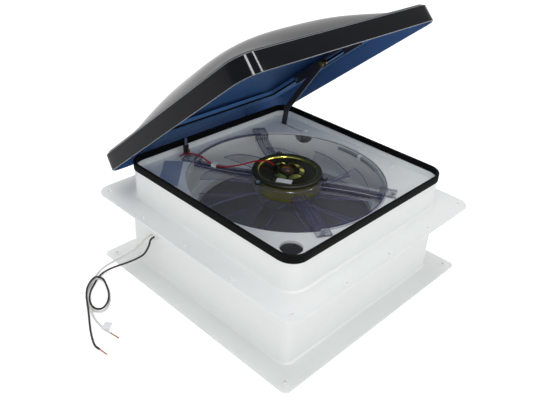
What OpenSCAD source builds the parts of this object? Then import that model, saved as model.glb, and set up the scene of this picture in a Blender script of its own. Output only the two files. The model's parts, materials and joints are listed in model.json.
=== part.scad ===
// Powered roof vent for a caravan: hinged domed lid, square roof frame with a fan and its motor,
// worm-driven lift arm, insect screen, ceiling trim and supply leads.
// Millimetres, +Z up. The origin is the middle of the roof flange's corner screws, on its underside.
// The lid is drawn open, as it rests; its hinge runs along X on the +Y side.

/* [Roof frame] */
// Width of the square roof flange
roof_flange_w = 425.5; // [418:0.5:440]
// Thickness of the roof flange
roof_flange_t = 2.5; // [2:0.1:4]
// Corner radius of the roof flange
roof_flange_r = 22; // [12:1:30]
// Outer width of the collar above the roof
collar_w = 348; // [346:0.5:352]
// Wall thickness of the collar
collar_wall = 4; // [3:0.1:4.5]
// Height of the collar's rim above the roof
collar_h = 51; // [49:0.5:53]
// Outer corner radius of the collar
collar_r = 25; // [18:1:32]
// Outer width of the throat that goes down through the roof
throat_w = 345; // [343:0.5:346]
// Wall thickness of the throat
throat_wall = 2.5; // [2:0.1:3.5]
// Depth of the throat below the roof
throat_depth = 30; // [29:0.5:36]
// Width of the lip turned in at the bottom of the throat
throat_lip_w = 10; // [9:0.5:12]
// Height of the deck's top face above the roof
deck_top = 41; // [40:0.5:42]
// Thickness of the deck
deck_t = 3; // [2.5:0.1:3.5]
// Width of the hole in the roof
roof_hole_w = 356; // [354:0.5:358]
// Height of the land that meets the roof round its hole
roof_land_h = 0.5; // [0.3:0.1:1]
// Distance of the roof flange's corner screws from its edges
roof_corner_inset = 16.25; // [13:0.25:19]
// Distance of the roof flange's side screws from its edge
roof_side_inset = 9.25; // [7:0.25:12]
// Distance along a side between its screws
roof_side_step = 98; // [80:1:110]
// Diameter of the screw holes of both flanges
flange_hole_d = 5; // [4:0.1:6]
// Height of the seal above the rim
seal_h = 10.2; // [9:0.1:11]
// Width of the seal
seal_w = 4; // [3:0.1:5]
// Length of the seal's leg outside the collar
seal_leg = 3; // [2:0.5:6]

/* [Ceiling trim] */
// Width of the square ceiling flange
trim_flange_w = 419; // [412:0.5:430]
// Thickness of the ceiling flange
trim_flange_t = 2.5; // [2:0.1:4]
// Corner radius of the ceiling flange
trim_flange_r = 9; // [6:1:16]
// Wall thickness of the trim box
trim_wall = 2.5; // [2:0.1:3.5]
// Outer corner radius of the trim box
trim_r = 11; // [6:1:14]
// Depth from the roof to the face of the ceiling flange
trim_depth = 121; // [110:1:160]
// Distance of the ceiling flange's corner screws from its edges
trim_corner_inset = 14.5; // [12:0.5:17]
// Height of the lead exit below the roof
exit_drop = 49; // [44:1:54]
// Distance of the lead exit from the middle of its wall
exit_offset = 112; // [108:1:116]

/* [Lid] */
// Width of the square lid
lid_w = 394; // [390:0.5:398]
// Outer corner radius of the lid
lid_r = 28; // [20:1:34]
// Height of the lid's skirt
skirt_h = 29; // [27:0.5:30]
// Wall thickness of the lid
lid_wall = 2; // [1.8:0.1:2.5]
// Inward lean of the skirt from bottom to top
skirt_lean = 1.5; // [0:0.1:2]
// Width of the square that the dome rises from
dome_w = 360; // [350:1:366]
// Height of the dome above the lid's border
dome_h = 50; // [35:1:60]
// Gap between the closed lid and the seal
lid_gap = 0.3; // [0.2:0.1:1]
// Width of the opening inside the lid's inner frame
lid_frame_in = 298; // [294:0.5:300]
// Thickness of the inner frame's strip
lid_frame_t = 2; // [1.5:0.1:3]
// Height of the inner frame's upstand
lid_frame_h = 9; // [9:0.5:12]
// Angle between the shut lid and the open lid
open_angle = 39.4; // [30:0.1:42]

/* [Hinge] */
// Distance of the hinge axis from the middle of the vent
hinge_y = 190; // [189:0.5:190.5]
// Height of the hinge axis above the roof
hinge_z = 30; // [29:0.5:31]
// Distance between the two hinges
hinge_span = 240; // [160:5:280]
// Diameter of the hinge pin
hinge_pin_d = 4; // [3:0.1:4.5]
// Outer diameter of the hinge knuckles
knuckle_d = 8; // [7.5:0.1:8.5]
// Length of the lid's knuckle
knuckle_l = 24; // [16:1:30]
// Thickness of the hinge ears
ear_t = 3; // [2:0.1:4]

/* [Fan and shroud] */
// Diameter of the fan opening in the deck
fan_opening_d = 314; // [312:0.5:318]
// Wall thickness of the shroud
shroud_wall = 2.5; // [2:0.1:3]
// Depth of the shroud's wide part below the deck's top
shroud_depth = 61; // [56:0.5:62]
// Diameter of the shroud's throat
shroud_throat_d = 284; // [281:1:290]
// Length of the shroud's throat
shroud_throat_l = 8; // [5:0.5:9]
// Diameter of the fan at the blade tips
fan_d = 274; // [240:1:276]
// Number of blades
blade_n = 10; // [6:1:12]
// Thickness of a blade
blade_t = 2; // [1.6:0.1:2.4]
// Diameter of the fan's hub
hub_d = 92; // [70:1:100]
// Height of the fan's hub
hub_h = 18; // [14:0.5:18.5]

/* [Motor] */
// Diameter of the motor can
motor_d = 104; // [98:0.5:108]
// Wall thickness of the motor can
motor_wall = 1.5; // [1.2:0.1:2]
// Depth of the motor can
motor_h = 23; // [22:0.5:23.5]
// Height of the end plate's underside above the roof
motor_top = 48; // [47.5:0.5:49]
// Diameter of the end plate
end_plate_d = 110; // [108:0.5:112]
// Thickness of the end plate
end_plate_t = 2.5; // [2:0.1:3]
// Diameter of the motor shaft
shaft_d = 8; // [6:0.1:9]
// Distance of the motor's screws from its axis
motor_screw_r = 60; // [59:0.5:62]
// Distance of the mount's feet from the fan's axis, across the hinge
foot_x = 81; // [78:0.5:84]
// Distance of the mount's feet from the fan's axis, along the opening direction
foot_y = 145; // [143.5:0.5:147]
// Width of a mount leg
leg_w = 22; // [18:0.5:24]
// Thickness of a mount leg
leg_t = 3.5; // [3:0.1:4]
// Drop of the mount's legs below their feet
leg_drop = 6; // [0:0.5:7]

/* [Lift] */
// Distance of the lift arm's plane from the middle of the vent
arm_x = 139.75; // [139:0.05:140.5]
// Thickness of the lift arm
arm_t = 2.5; // [2:0.1:2.5]
// Width of the lift arm
arm_w = 10; // [8:0.5:11]
// Distance of the arm's pivot from the middle of the vent
pivot_y = 143; // [142:0.5:144]
// Height of the arm's pivot above the roof
pivot_z = 15; // [14:0.5:15.5]
// Distance from the pivot to the arm's elbow
elbow_l = 57.5; // [56:0.5:60]
// Slope of the arm's lower leg when the lid is open
elbow_angle = 82.5; // [80:0.5:85]
// Distance of the lift pin from the middle of the lid, when open
slide_y = 0; // [-6:0.5:6]
// Height of the lift pin's track above the roof, when shut
slide_z = 63; // [62:0.5:64]
// Diameter of the lift pin
lift_pin_d = 6; // [5:0.1:6.4]
// Number of worm wheel teeth
wheel_n = 30; // [30:1:30]
// Module of the worm wheel
wheel_m = 1; // [0.95:0.01:1.02]
// Width of the worm wheel
wheel_w = 6; // [5:0.5:6.5]
// Pitch diameter of the worm
worm_d = 12; // [11.5:0.1:12.5]
// Diameter of the lift knob
lift_knob_d = 30; // [24:0.5:32]
// Height of all three knobs
knob_h = 16; // [12:0.5:20]

/* [Screen and controls] */
// Thickness of the screen frame
screen_t = 3; // [2:0.1:4]
// Diameter of the screen's opening
screen_d = 288; // [280:1:296]
// Thickness of the insect screen
mesh_t = 0.8; // [0.6:0.1:1.2]
// Number of gaps across the insect screen as drawn
mesh_n = 15; // [11:2:17]
// Distance of the screen's quarter-turn latches from the middle of the vent
latch_r = 163; // [162.5:0.5:163.5]
// Diameter of the latch stems
latch_stem_d = 5; // [4:0.1:5.4]
// Diameter of the speed and thermostat knobs
control_knob_d = 26; // [20:0.5:28]
// Diameter of the control shafts
control_shaft_d = 6; // [5:0.1:7]
// Travel of the lid switch's plunger
plunger_travel = 8; // [7:0.5:8.5]

/* [Hidden] */
$fn = 64;
// Clearances: a turning shaft in its bore, a seated piece, and a running gap
run_gap = 0.05;
seat_gap = 0.3;
free_gap = 1;

// Screw patterns of the two flanges
roof_corner_span = roof_flange_w - 2*roof_corner_inset;
roof_side_span = roof_flange_w - 2*roof_side_inset;
trim_corner_span = trim_flange_w - 2*trim_corner_inset;

// Frame heights and half widths
collar_in = collar_w/2 - collar_wall;
throat_in = throat_w/2 - throat_wall;
deck_bottom = deck_top - deck_t;
seal_top = collar_h + seal_h;
seal_out = collar_w/2 + 1.5;
throat_z = -throat_depth;
lip_top = throat_z + throat_wall;
lip_in = throat_in - throat_lip_w;

// Shroud
shroud_in = fan_opening_d/2 - 0.8;
shroud_step_z = deck_top - shroud_depth;
shroud_throat_z = shroud_step_z - shroud_throat_l;
shroud_flange_w = 8;

// Lid heights when shut
land_z = seal_top + lid_gap;
border_under = land_z + lid_frame_t;
border_top = border_under + lid_wall;
skirt_z = border_top - skirt_h;
hinge_xs = [-hinge_span/2, hinge_span/2];

// Trim
trim_in = throat_w/2;
trim_out = trim_in + trim_wall;
trim_bottom = -trim_depth;

// Motor and fan heights
can_bottom = motor_top - motor_h;
bush_d = 16;
hub_top = can_bottom - 3 - free_gap;
hub_bottom = hub_top - hub_h;
leg_z = deck_top;
hub_wall = 3;

// Blade angles at root and tip, its rise from edge to edge and the bow of its face
root_chord = 22;
tip_chord = 32;
root_rise = hub_h - 5;
tip_rise = 20;
blade_sweep = 6;
blade_camber = 16;
mount_in = motor_d/2 + seat_gap;
mount_wall = 5;
mount_bottom = motor_top - 16;
leg_angle = atan2(foot_y, foot_x);
leg_reach = norm([foot_x, foot_y]) + 5;
motor_screw_angles = [56, 176, 296];
arc_w = 4;
arc_r = fan_opening_d/2 - arc_w - 0.4;
post_r = 5;

magnet_t = 6;

// Small screws: shank and the hole it stands in
screw_r = 1.5;
screw_hole_r = screw_r + 0.1;

// Lift: arm pin, worm and knob
pivot = [pivot_y, pivot_z];
elbow = pivot + elbow_l*[-cos(elbow_angle), sin(elbow_angle)];
lift_pin = lid_point([slide_y, slide_z]);
wheel_r = wheel_n*wheel_m/2;
worm_crest = worm_d/2 + 0.6*wheel_m;
worm_x = arm_x + arm_t/2 + worm_crest + 0.4;
wheel_x = worm_x - wheel_w/2;
worm_y = pivot_y - wheel_r - worm_d/2;
worm_lead = PI*wheel_m;
lift_shaft_r = 4;
lift_journal_r = 3;
pivot_pin_r = 3;
case_wall = 2.5;
case_x0 = arm_x - arm_t/2 - 2.5;
case_x1 = worm_x + worm_crest + 0.6;
slot_half = arm_t/2 + 1.75;
case_screw_x = arm_x + slot_half + 4.75;
case_y0 = worm_y - worm_d/2 - 2.5;
case_y1 = pivot_y + wheel_r + 3;
case_z0 = pivot_z - wheel_r - 5;
arm_end_r = arm_w/2 + 0.6;
track_half_w = lift_pin_d/2 + 1.1;
track_drop = 0.78;
track_back = 46;
track_front = 12;
track_plate_x = arm_x + arm_t/2 + 1.5;
track_plate_t = 2;
track_plate_h = 14;
track_reach = [70, 80];
track_ends = [slide_y + track_reach[0], slide_y - track_reach[1]];

// Controls in the corner at +X and -Y
speed_at = [150, -120];
thermostat_at = [120, -150];
control_plate_leg = 92;
control_plate_t = 2;
control_body = [30, 26, 20];
knob_top = throat_z - screen_t - 2;
lift_at = [worm_x, worm_y];

// Lid switch
switch_at = [-72, 159.5];
switch_r = 4.5;
switch_h = 16;
plunger_r = 2.2;
plunger_l = 19;
plunger_top = seal_top + plunger_travel;

// Thermostat bulb on the shroud wall
bulb_r = 3;
bulb_z = 34;
bulb_ring = shroud_in - bulb_r - seat_gap;
bulb_from = -29;
bulb_to = 7;
tube_r = 1;
tube_angle = atan2(thermostat_at[1], thermostat_at[0]);
tube_reach = norm(thermostat_at);

// Supply leads
lead_r = 1.5;
lead_tip_r = 0.8;
lead_tip_l = 16;
exit_at = [-trim_out, exit_offset, -exit_drop];
exit_r = 7;

// Routes of the leads: points chosen by hand, from the exit to the stripped end
black_route = [
    [-178, 110, -50.5], [-185, 109.5, -52], [-190.5, 108.5, -62], [-197, 113, -76], [-205.5, 124, -87.5],
    [-213.5, 138, -98.5], [-222, 151.5, -108], [-231.5, 161, -115], [-243, 163.5, -118.5], [-255, 158.5, -119.3],
    [-268, 149, -119.3], [-281, 138, -119.3], [-291, 125, -119.3], [-297, 111, -119.3], [-298, 99, -118.6],
    [-293, 90.5, -116.9], [-284.5, 91.5, -116.1], [-273.5, 100.5, -116.1], [-264.5, 113.5, -116.1],
    [-257.5, 130.5, -115.6], [-254, 146, -113.4], [-260.5, 155, -112], [-272.5, 150.5, -112],
    [-285, 140, -112], [-295, 126, -112.1], [-302.5, 112, -112.4], [-309.5, 98, -114.8], [-316, 86, -118.6],
    [-323, 73, -119.3], [-330, 59, -119.3], [-336, 45, -119.3], [-340, 32, -119.3], [-339, 23, -119.3]
];
white_route = [
    [-178, 114.5, -47.5], [-185, 115, -48.5], [-191, 117, -53], [-197, 124, -64], [-203, 135, -78],
    [-210, 147, -91], [-219, 158, -101], [-230, 166, -109], [-242, 168.5, -114.5], [-256, 163.5, -118],
    [-270, 153.5, -119.3], [-283.5, 142, -119.3], [-294.5, 127.5, -119.3], [-301, 112, -119.3],
    [-302, 97, -119.3], [-295, 87.5, -119.3], [-284.5, 88.5, -119.3], [-273.5, 98, -119.3],
    [-264.5, 111.5, -119.3], [-257, 128.5, -119], [-254, 145, -117], [-260.5, 154, -115.5], [-272.5, 150, -115.6],
    [-285, 139.5, -115.6], [-295, 125.5, -115.6], [-301, 112, -115.7], [-305, 99, -116], [-308.5, 88, -117.6],
    [-311, 76, -119.1], [-312, 63, -119.3], [-312, 51, -119.3], [-310, 39, -119.3]
];
tag_step = 30;
tag_turn = 31;
tag_size = [15, 11, 0.6];
red_route = [
    [-88, 156, 42.8], [-82, 155, 44.6], [-76, 151, 46], [-71, 143, 47], [-68, 131, 47.2],
    [-66.5, 124, 46.4], [-64.5, 115, 43], [-61, 101, 40.4], [-55, 88, 40.6], [-47, 78, 42.5],
    [-38, 68, 45.8], [-29, 59, 50], [-21, 50.5, 53.8], [-14, 42, 55.8], [-9.5, 33.5, 56.6],
    [-8.5, 26, 56.2], [-9.3, 19.8, 54.8]
];
red_r = 1.2;
clip_at = [-61, 101];
grommet_at = [-10, 16];

// Where a point [y, z] of the shut lid stands when the lid is open
function lid_point(p) = let (d = p - [hinge_y, hinge_z], c = cos(open_angle), s = sin(open_angle))
    [hinge_y + c*d[0] + s*d[1], hinge_z - s*d[0] + c*d[1]];

// Carries a piece of the shut lid to the open lid
module lid_pose() {
    translate([0, hinge_y, hinge_z]) rotate([-open_angle, 0, 0])
        translate([0, -hinge_y, -hinge_z]) children();
}

// A square of the given half width with round corners
module round_square(half, r) {
    square([2*half, 2*(half - r)], center = true);
    square([2*(half - r), 2*half], center = true);
    for (x = [-1, 1], y = [-1, 1]) translate([x*(half - r), y*(half - r)]) circle(r);
}

module round_plate(half, r, z0, z1) {
    translate([0, 0, z0]) linear_extrude(z1 - z0) round_square(half, r);
}

// A square tube between two half widths
module square_tube(outer, inner, r, z0, z1) {
    translate([0, 0, z0]) linear_extrude(z1 - z0) difference() {
        round_square(outer, r);
        round_square(inner, max(r - (outer - inner), 2));
    }
}

module ring(r_out, r_in, z0, z1) {
    translate([0, 0, z0]) difference() {
        cylinder(r = r_out, h = z1 - z0);
        translate([0, 0, -1]) cylinder(r = r_in, h = z1 - z0 + 2);
    }
}

module post(at, r, z0, z1) {
    translate([at[0], at[1], z0]) cylinder(r = r, h = z1 - z0);
}

// A cylinder along X between two places
module bar_x(yz, r, x0, x1) {
    translate([x0, yz[0], yz[1]]) rotate([0, 90, 0]) cylinder(r = r, h = x1 - x0);
}

// Screw places of the two flanges
function corners(span) = [for (x = [-1, 1], y = [-1, 1]) [x*span/2, y*span/2]];
function sides(span, step) = [for (s = [-1, 1], k = [-1:1]) each [[s*span/2, k*step], [k*step, s*span/2]]];

// Tube swept along a route: a ring of points at each place, turned as little as possible
function unit(v) = v/norm(v);
function bend(a, b, c, d, t) = 0.5*(2*b + (c - a)*t + (2*a - 5*b + 4*c - d)*t*t + (3*b - a - 3*c + d)*t*t*t);
function smooth_route(p, n) = let (e = len(p) - 1) [
    for (i = [0:e - 1], k = [0:n - 1]) bend(p[max(i - 1, 0)], p[i], p[i + 1], p[min(i + 2, e)], k/n), p[e]];
function along(p) = let (e = len(p) - 1) [for (i = [0:e]) unit(p[min(i + 1, e)] - p[max(i - 1, 0)])];
function across(t, i, n) = i == len(t) ? [] : let (v = unit(n - (n*t[i])*t[i]))
    concat([v], across(t, i + 1, v));

module tube(route, r, steps, sides_n = 8) {
    p = smooth_route(route, steps);
    t = along(p);
    n = across(t, 0, [0.13, 0.31, 0.94]);
    m = len(p);
    points = [for (i = [0:m - 1], k = [0:sides_n - 1])
        let (a = 360*k/sides_n) p[i] + r*(cos(a)*n[i] + sin(a)*cross(t[i], n[i]))];
    walls = [for (i = [0:m - 2], k = [0:sides_n - 1])
        let (a = i*sides_n + k, b = i*sides_n + (k + 1)%sides_n)
        each [[a, a + sides_n, b], [b, a + sides_n, b + sides_n]]];
    caps = [[for (k = [0:sides_n - 1]) k], [for (k = [sides_n - 1:-1:0]) (m - 1)*sides_n + k]];
    polyhedron(points, concat(walls, caps), convexity = 6);
}

// Roof frame: flange, collar, deck and throat in one moulding
module base_frame() {
    color("whitesmoke") difference() {
        union() {
            round_plate(roof_flange_w/2, roof_flange_r, roof_land_h, roof_flange_t);
            square_tube(roof_flange_w/2 - 1, roof_hole_w/2, roof_flange_r - 1, 0, roof_flange_t - 0.5);
            square_tube(collar_w/2, collar_in, collar_r, roof_land_h + 0.5, collar_h);
            square_tube(throat_w/2, throat_in, trim_r, throat_z, roof_flange_t);
            square_tube(throat_in + 1, lip_in, trim_r, throat_z, lip_top);
            round_plate(collar_in + 1, collar_r - collar_wall, deck_bottom, deck_top);
            post(deck_hole_at, deck_hole_r + 2, deck_top - deck_hole_l, deck_top - 1);
        }
        round_plate(throat_in, trim_r - throat_wall, -1, roof_flange_t + 1);
        translate([0, 0, deck_bottom - 1]) cylinder(d = fan_opening_d, h = deck_t + 2);
        for (p = concat(corners(roof_corner_span), sides(roof_side_span, roof_side_step)))
            post(p, flange_hole_d/2, -1, roof_flange_t + 1);
        for (p = concat(foot_places(), deck_screw_places()))
            post(p, screw_hole_r, deck_bottom - 1, deck_top + 1);
        post(deck_hole_at, deck_hole_r, deck_top - deck_hole_l - 1, deck_top + 1);
        post([red_route[0][0] - 1, red_route[0][1]], 3, deck_bottom - 1, deck_top + 1);
        arm_slot();
        for (i = [0:3]) latch_place(i) translate([0, 0, throat_z - 1]) {
            cylinder(d = latch_stem_d + 2*free_gap, h = throat_wall + 2);
            translate([-latch_blade_w/2 - 0.5, -latch_blade_l/2 - 0.5, 0])
                cube([latch_blade_w + 1, latch_blade_l + 1, throat_wall + 2]);
        }
    }
}

plate_at = [39.4 - collar_in, collar_in - 46];
plate_size = [78, 30, 0.4];
deck_hole_at = [-135, -136];
deck_hole_r = 16;
deck_hole_l = 14;
function foot_places() = [for (x = [-1, 1], y = [-1, 1]) [x*foot_x, y*foot_y]];
function case_screw_places() = [[case_screw_x, case_y0 - 20], [case_screw_x, case_y1 + 4.5]];
function deck_screw_places() = concat(case_screw_places(), [[158, -88]]);

// Slot in the deck that the lift arm swings in
module arm_slot() {
    shut = elbow_angle - arm_swing();
    reach = (deck_top - pivot_z)/tan(shut) + arm_w/2/sin(shut) + 3;
    y0 = pivot_y - reach;
    y1 = pivot_y + 6;
    translate([arm_x - slot_half, y0, deck_bottom - 1]) cube([2*slot_half, y1 - y0, deck_t + 2]);
}

// Angle that the lift arm turns through while the lid shuts
function arm_reach() = norm(lift_pin - pivot);
function shut_pin_y() = let (h = slide_z - pivot_z) pivot_y - sqrt(arm_reach()*arm_reach() - h*h);
function arm_swing() = atan2(lift_pin[1] - pivot_z, pivot_y - lift_pin[0])
    - atan2(slide_z - pivot_z, pivot_y - shut_pin_y());

// Rubber seal on the rim, with a leg outside the collar
module rim_seal() {
    color("black") {
        square_tube(seal_out, seal_out - seal_w, collar_r + 1.5, collar_h, seal_top);
        square_tube(seal_out, collar_w/2, collar_r + 1.5, collar_h - seal_leg, collar_h);
    }
}

// Shroud round the fan, hung under the deck and stepped in to a throat; holes are [angle, height, radius]
module fan_shroud() {
    wide = shroud_in + shroud_wall;
    narrow = shroud_throat_d/2;
    holes = [[32.5, deck_top - 1, 15.5], [125, 27, 2.5], [tube_angle, bulb_z, tube_r + 2*free_gap]];
    color("white") difference() {
        union() {
            ring(wide + shroud_flange_w, shroud_in, deck_bottom - shroud_wall, deck_bottom);
            ring(wide, shroud_in, shroud_step_z, deck_bottom);
            ring(wide, narrow, shroud_step_z, shroud_step_z + shroud_wall);
            ring(narrow + shroud_wall, narrow, shroud_throat_z, shroud_step_z + shroud_wall);
        }
        for (p = holes)
            rotate([0, 0, p[0]]) translate([shroud_in - 5, 0, p[1]]) rotate([0, 90, 0])
                cylinder(r = p[2], h = 20);
        for (p = concat(deck_screw_places(), foot_places()))
            post(p, screw_r + free_gap, deck_bottom - 10, deck_bottom + 1);
    }
}

// Two brackets on the collar that carry the hinge pins
module hinge_brackets() {
    face = collar_w/2;
    plate_t = 2;
    gap = knuckle_l/2 + seat_gap;
    color("silver") for (x = hinge_xs) translate([x, 0, 0]) {
        translate([-gap - ear_t, face, hinge_z - 14]) cube([2*(gap + ear_t), plate_t, 20]);
        for (s = [-gap - ear_t, gap]) difference() {
            union() {
                translate([s, face, hinge_z - knuckle_d/2]) cube([ear_t, hinge_y - face, knuckle_d]);
                bar_x([hinge_y, hinge_z], knuckle_d/2, s, s + ear_t);
            }
            bar_x([hinge_y, hinge_z], hinge_pin_d/2 + run_gap, s - 1, s + ear_t + 1);
        }
    }
}

module hinge_pins() {
    end = knuckle_l/2 + seat_gap + ear_t + 1.5;
    color("gray") for (x = hinge_xs) bar_x([hinge_y, hinge_z], hinge_pin_d/2, x - end, x + end);
}

// Clear mount: a ring round the motor, three posts, four legs that rise to feet on the deck, and arcs
// between the feet
module motor_mount() {
    rib = 2.5;
    rib_h = 8;
    rib_end = shroud_in - 6;
    riser = 6;
    low = leg_z - leg_drop;
    outer = mount_in + mount_wall;
    post_bottom = mount_bottom - 1;
    color("lavender", 0.5) difference() {
        union() {
            ring(outer, mount_in, mount_bottom, leg_z + leg_t + 0.5);
            for (a = motor_screw_angles) rotate([0, 0, a])
                post([motor_screw_r, 0], post_r, post_bottom, motor_top);
            for (s = [0, 1], m = [leg_angle, 180 - leg_angle]) rotate([0, 0, m + 180*s]) {
                translate([outer - 2, -leg_w/2, low]) cube([rib_end - outer + 2, leg_w, leg_t]);
                translate([rib_end - riser, -leg_w/2, low]) cube([riser, leg_w, leg_drop + leg_t]);
                translate([rib_end - riser, -leg_w/2, leg_z])
                    cube([leg_reach - rib_end + riser, leg_w, leg_t]);
                for (y = [-leg_w/2, leg_w/2 - rib]) translate([outer - 3, y, low - rib_h])
                    cube([rib_end - outer + 3, rib, rib_h + 1]);
            }
            for (a = [leg_angle, leg_angle + 180]) rotate([0, 0, a])
                rotate_extrude(angle = 180 - 2*leg_angle)
                    translate([arc_r, leg_z - 2]) square([arc_w, leg_t + 1]);
        }
        for (a = motor_screw_angles) rotate([0, 0, a])
            post([motor_screw_r, 0], screw_hole_r, post_bottom - 1, motor_top + 1);
        for (p = foot_places()) post(p, screw_hole_r, leg_z - 1, leg_z + leg_t + 1);
    }
}

// Pan-head screw standing in a hole below its head
module pan_screw(at, head_z, length, r = screw_r) {
    post(at, r, head_z - length, head_z);
    translate([at[0], at[1], head_z]) difference() {
        cylinder(r = 2.1*r, h = 1.2*r);
        translate([-2.5*r, -0.3*r, 0.7*r]) cube([5*r, 0.6*r, r]);
    }
}

module mount_screws() {
    color("silver") for (p = foot_places()) pan_screw(p, leg_z + leg_t, leg_t + deck_t + 2);
}

// Deep-drawn motor can with a bush hole in its floor
module motor_can() {
    color("goldenrod") difference() {
        union() {
            ring(motor_d/2, motor_d/2 - motor_wall, can_bottom, motor_top);
            post([0, 0], motor_d/2, can_bottom, can_bottom + motor_wall);
            post([0, 0], bush_d/2 + 2, can_bottom - 3, can_bottom + 1);
        }
        post([0, 0], bush_d/2 + run_gap, can_bottom - 4, can_bottom + 5);
    }
}

// Round end plate with three ears and a raised bush seat
module motor_end_plate() {
    color("goldenrod") difference() {
        union() {
            post([0, 0], end_plate_d/2, motor_top, motor_top + end_plate_t);
            for (a = motor_screw_angles) rotate([0, 0, a]) {
                post([motor_screw_r, 0], post_r, motor_top, motor_top + end_plate_t);
                translate([motor_screw_r - 12, -post_r, motor_top]) cube([12, 2*post_r, end_plate_t]);
            }
            post([0, 0], bush_d/2 + 3, motor_top, motor_top + end_plate_t + 2);
        }
        post([0, 0], bush_d/2 + run_gap, motor_top - 1, motor_top + end_plate_t + 3);
        for (a = motor_screw_angles) rotate([0, 0, a])
            post([motor_screw_r, 0], screw_hole_r, motor_top - 1, motor_top + 5);
    }
}

module motor_screws() {
    color("silver") for (a = motor_screw_angles) rotate([0, 0, a])
        pan_screw([motor_screw_r, 0], motor_top + end_plate_t, 14);
}

module motor_bushes() {
    color("peru") {
        ring(bush_d/2, shaft_d/2 + run_gap, motor_top + 0.5, motor_top + end_plate_t + 2);
        ring(bush_d/2, shaft_d/2 + run_gap, can_bottom - 3, can_bottom + 3);
    }
}

module motor_magnets() {
    outer = motor_d/2 - motor_wall;
    color("dimgray") for (a = [0, 180]) rotate([0, 0, a + 20]) rotate_extrude(angle = 140)
        translate([outer - magnet_t, can_bottom + motor_wall + 2]) square([magnet_t, motor_h - 6]);
}

module motor_brushes() {
    color("darkslategray") for (a = [0, 180]) rotate([0, 0, a])
        translate([12.5, -3, motor_top - 2.7]) cube([14, 6, 2.7]);
}

// Bare label on the end plate
module motor_label() {
    label = [24, 12, 0.3];
    color("white") translate([-27.3, -19.4, motor_top + end_plate_t + label[2]/2]) rotate([0, 0, -59])
        cube(label, center = true);
}

module motor_grommet() {
    color("black") translate([grommet_at[0], grommet_at[1], motor_top + end_plate_t]) {
        cylinder(r = 4.5, h = 2);
        cylinder(r = 3, h = 6);
    }
}

module motor_lead() {
    color("firebrick") tube(red_route, red_r, 3);
}

// Clip that holds the motor's lead on a leg
module lead_clip() {
    z0 = leg_z - leg_drop + leg_t;
    color("white") translate([clip_at[0], clip_at[1], z0]) rotate([0, 0, 20]) difference() {
        translate([-5, -4, 0]) cube([10, 8, 5.4]);
        translate([-3.2, -5, -1]) cube([6.4, 10, 5]);
    }
}

// Barrel of the lid switch on the deck
module lid_switch_body() {
    color("dimgray") difference() {
        post(switch_at, switch_r, deck_top, deck_top + switch_h);
        post(switch_at, plunger_r + run_gap, deck_top - 1, deck_top + switch_h + 1);
    }
}

module lid_switch_terminal() {
    color("goldenrod") translate([switch_at[0] - 0.5, switch_at[1] - switch_r - 5, deck_top + 6])
        cube([1, 5, 5]);
}

module switch_plunger() {
    color("silver") post(switch_at, plunger_r, plunger_top - plunger_l, plunger_top);
}

// Thermostat bulb curved along the shroud wall
module thermostat_bulb() {
    color("silver") rotate([0, 0, bulb_from]) rotate_extrude(angle = bulb_to - bulb_from)
        translate([bulb_ring, bulb_z]) circle(bulb_r);
}

module bulb_clip() {
    color("white") rotate([0, 0, (bulb_from + bulb_to)/2 - 1]) rotate_extrude(angle = 2)
        translate([shroud_in - 2*bulb_r - 2.5, bulb_z - bulb_r - 1.5]) difference() {
            square([2*bulb_r + 2.4, 2*bulb_r + 3]);
            translate([2.5 - seat_gap - 0.05, 1.5 - 0.05]) square([2*bulb_r + 5, 2*bulb_r + 0.1]);
        }
}

// Capillary from the bulb along the wall, out through the shroud and down to the thermostat
module thermostat_tube() {
    turn = bulb_from - tube_angle;
    wall = [for (k = [0:5]) at_angle(bulb_from - 0.1 - (turn - 3)*k/5, bulb_ring, bulb_z)];
    out = [for (r = [shroud_in, shroud_in + 8, tube_reach - 14, tube_reach - 5])
        at_angle(tube_angle, r, bulb_z)];
    down = [for (z = [bulb_z - 6, bulb_z - 16, control_top()]) at_angle(tube_angle, tube_reach, z)];
    color("gray") tube(concat(wall, out, down), tube_r, 3);
}

function at_angle(a, r, z) = [r*cos(a), r*sin(a), z];
function control_top() = lip_top + control_plate_t + control_body[2];

module control_case(at) {
    translate([at[0], at[1], lip_top + control_plate_t]) difference() {
        translate([-control_body[0]/2, -control_body[1]/2, 0]) cube(control_body);
        translate([0, 0, -1]) cylinder(d = control_shaft_d + 2*run_gap, h = 13);
    }
}

module thermostat_body() {
    color("darkgray") control_case(thermostat_at);
}

module speed_switch_body() {
    color("black") control_case(speed_at);
}

// Corner plate that carries both controls, resting on the throat's lip
module control_plate() {
    edge = throat_in - seat_gap;
    cut = trim_r;
    tab = 12;
    color("gainsboro") translate([0, 0, lip_top]) difference() {
        linear_extrude(control_plate_t) polygon([[edge - cut, -edge], [edge, -edge + cut],
            [edge, -edge + control_plate_leg], [edge - tab, -edge + control_plate_leg],
            [edge - control_plate_leg, -edge + tab], [edge - control_plate_leg, -edge]]);
        for (p = [speed_at, thermostat_at]) post(p, control_shaft_d/2 + 0.5, -1, 5);
    }
}

// Fluted grip of a knob
module grip(at, d, flutes) {
    difference() {
        post(at, d/2, knob_top - knob_h, knob_top);
        for (i = [0:flutes - 1]) translate([at[0], at[1], knob_top - knob_h - 1])
            rotate([0, 0, 360*i/flutes]) translate([d/2 + 1, 0, 0]) cylinder(r = 2, h = knob_h - 3);
    }
}

// Knob of a control, in one piece with its shaft
module control_knob(at) {
    color("white") {
        grip(at, control_knob_d, 12);
        post(at, control_shaft_d/2, knob_top - 1, lip_top + control_plate_t + 11);
    }
}

module speed_knob() {
    control_knob(speed_at);
}

module thermostat_knob() {
    control_knob(thermostat_at);
}

// Bare rating plate on the deck
module rating_plate() {
    color("steelblue") translate([plate_at[0], plate_at[1], deck_top + plate_size[2]/2]) rotate([0, 0, 45])
        cube(plate_size, center = true);
}

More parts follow.
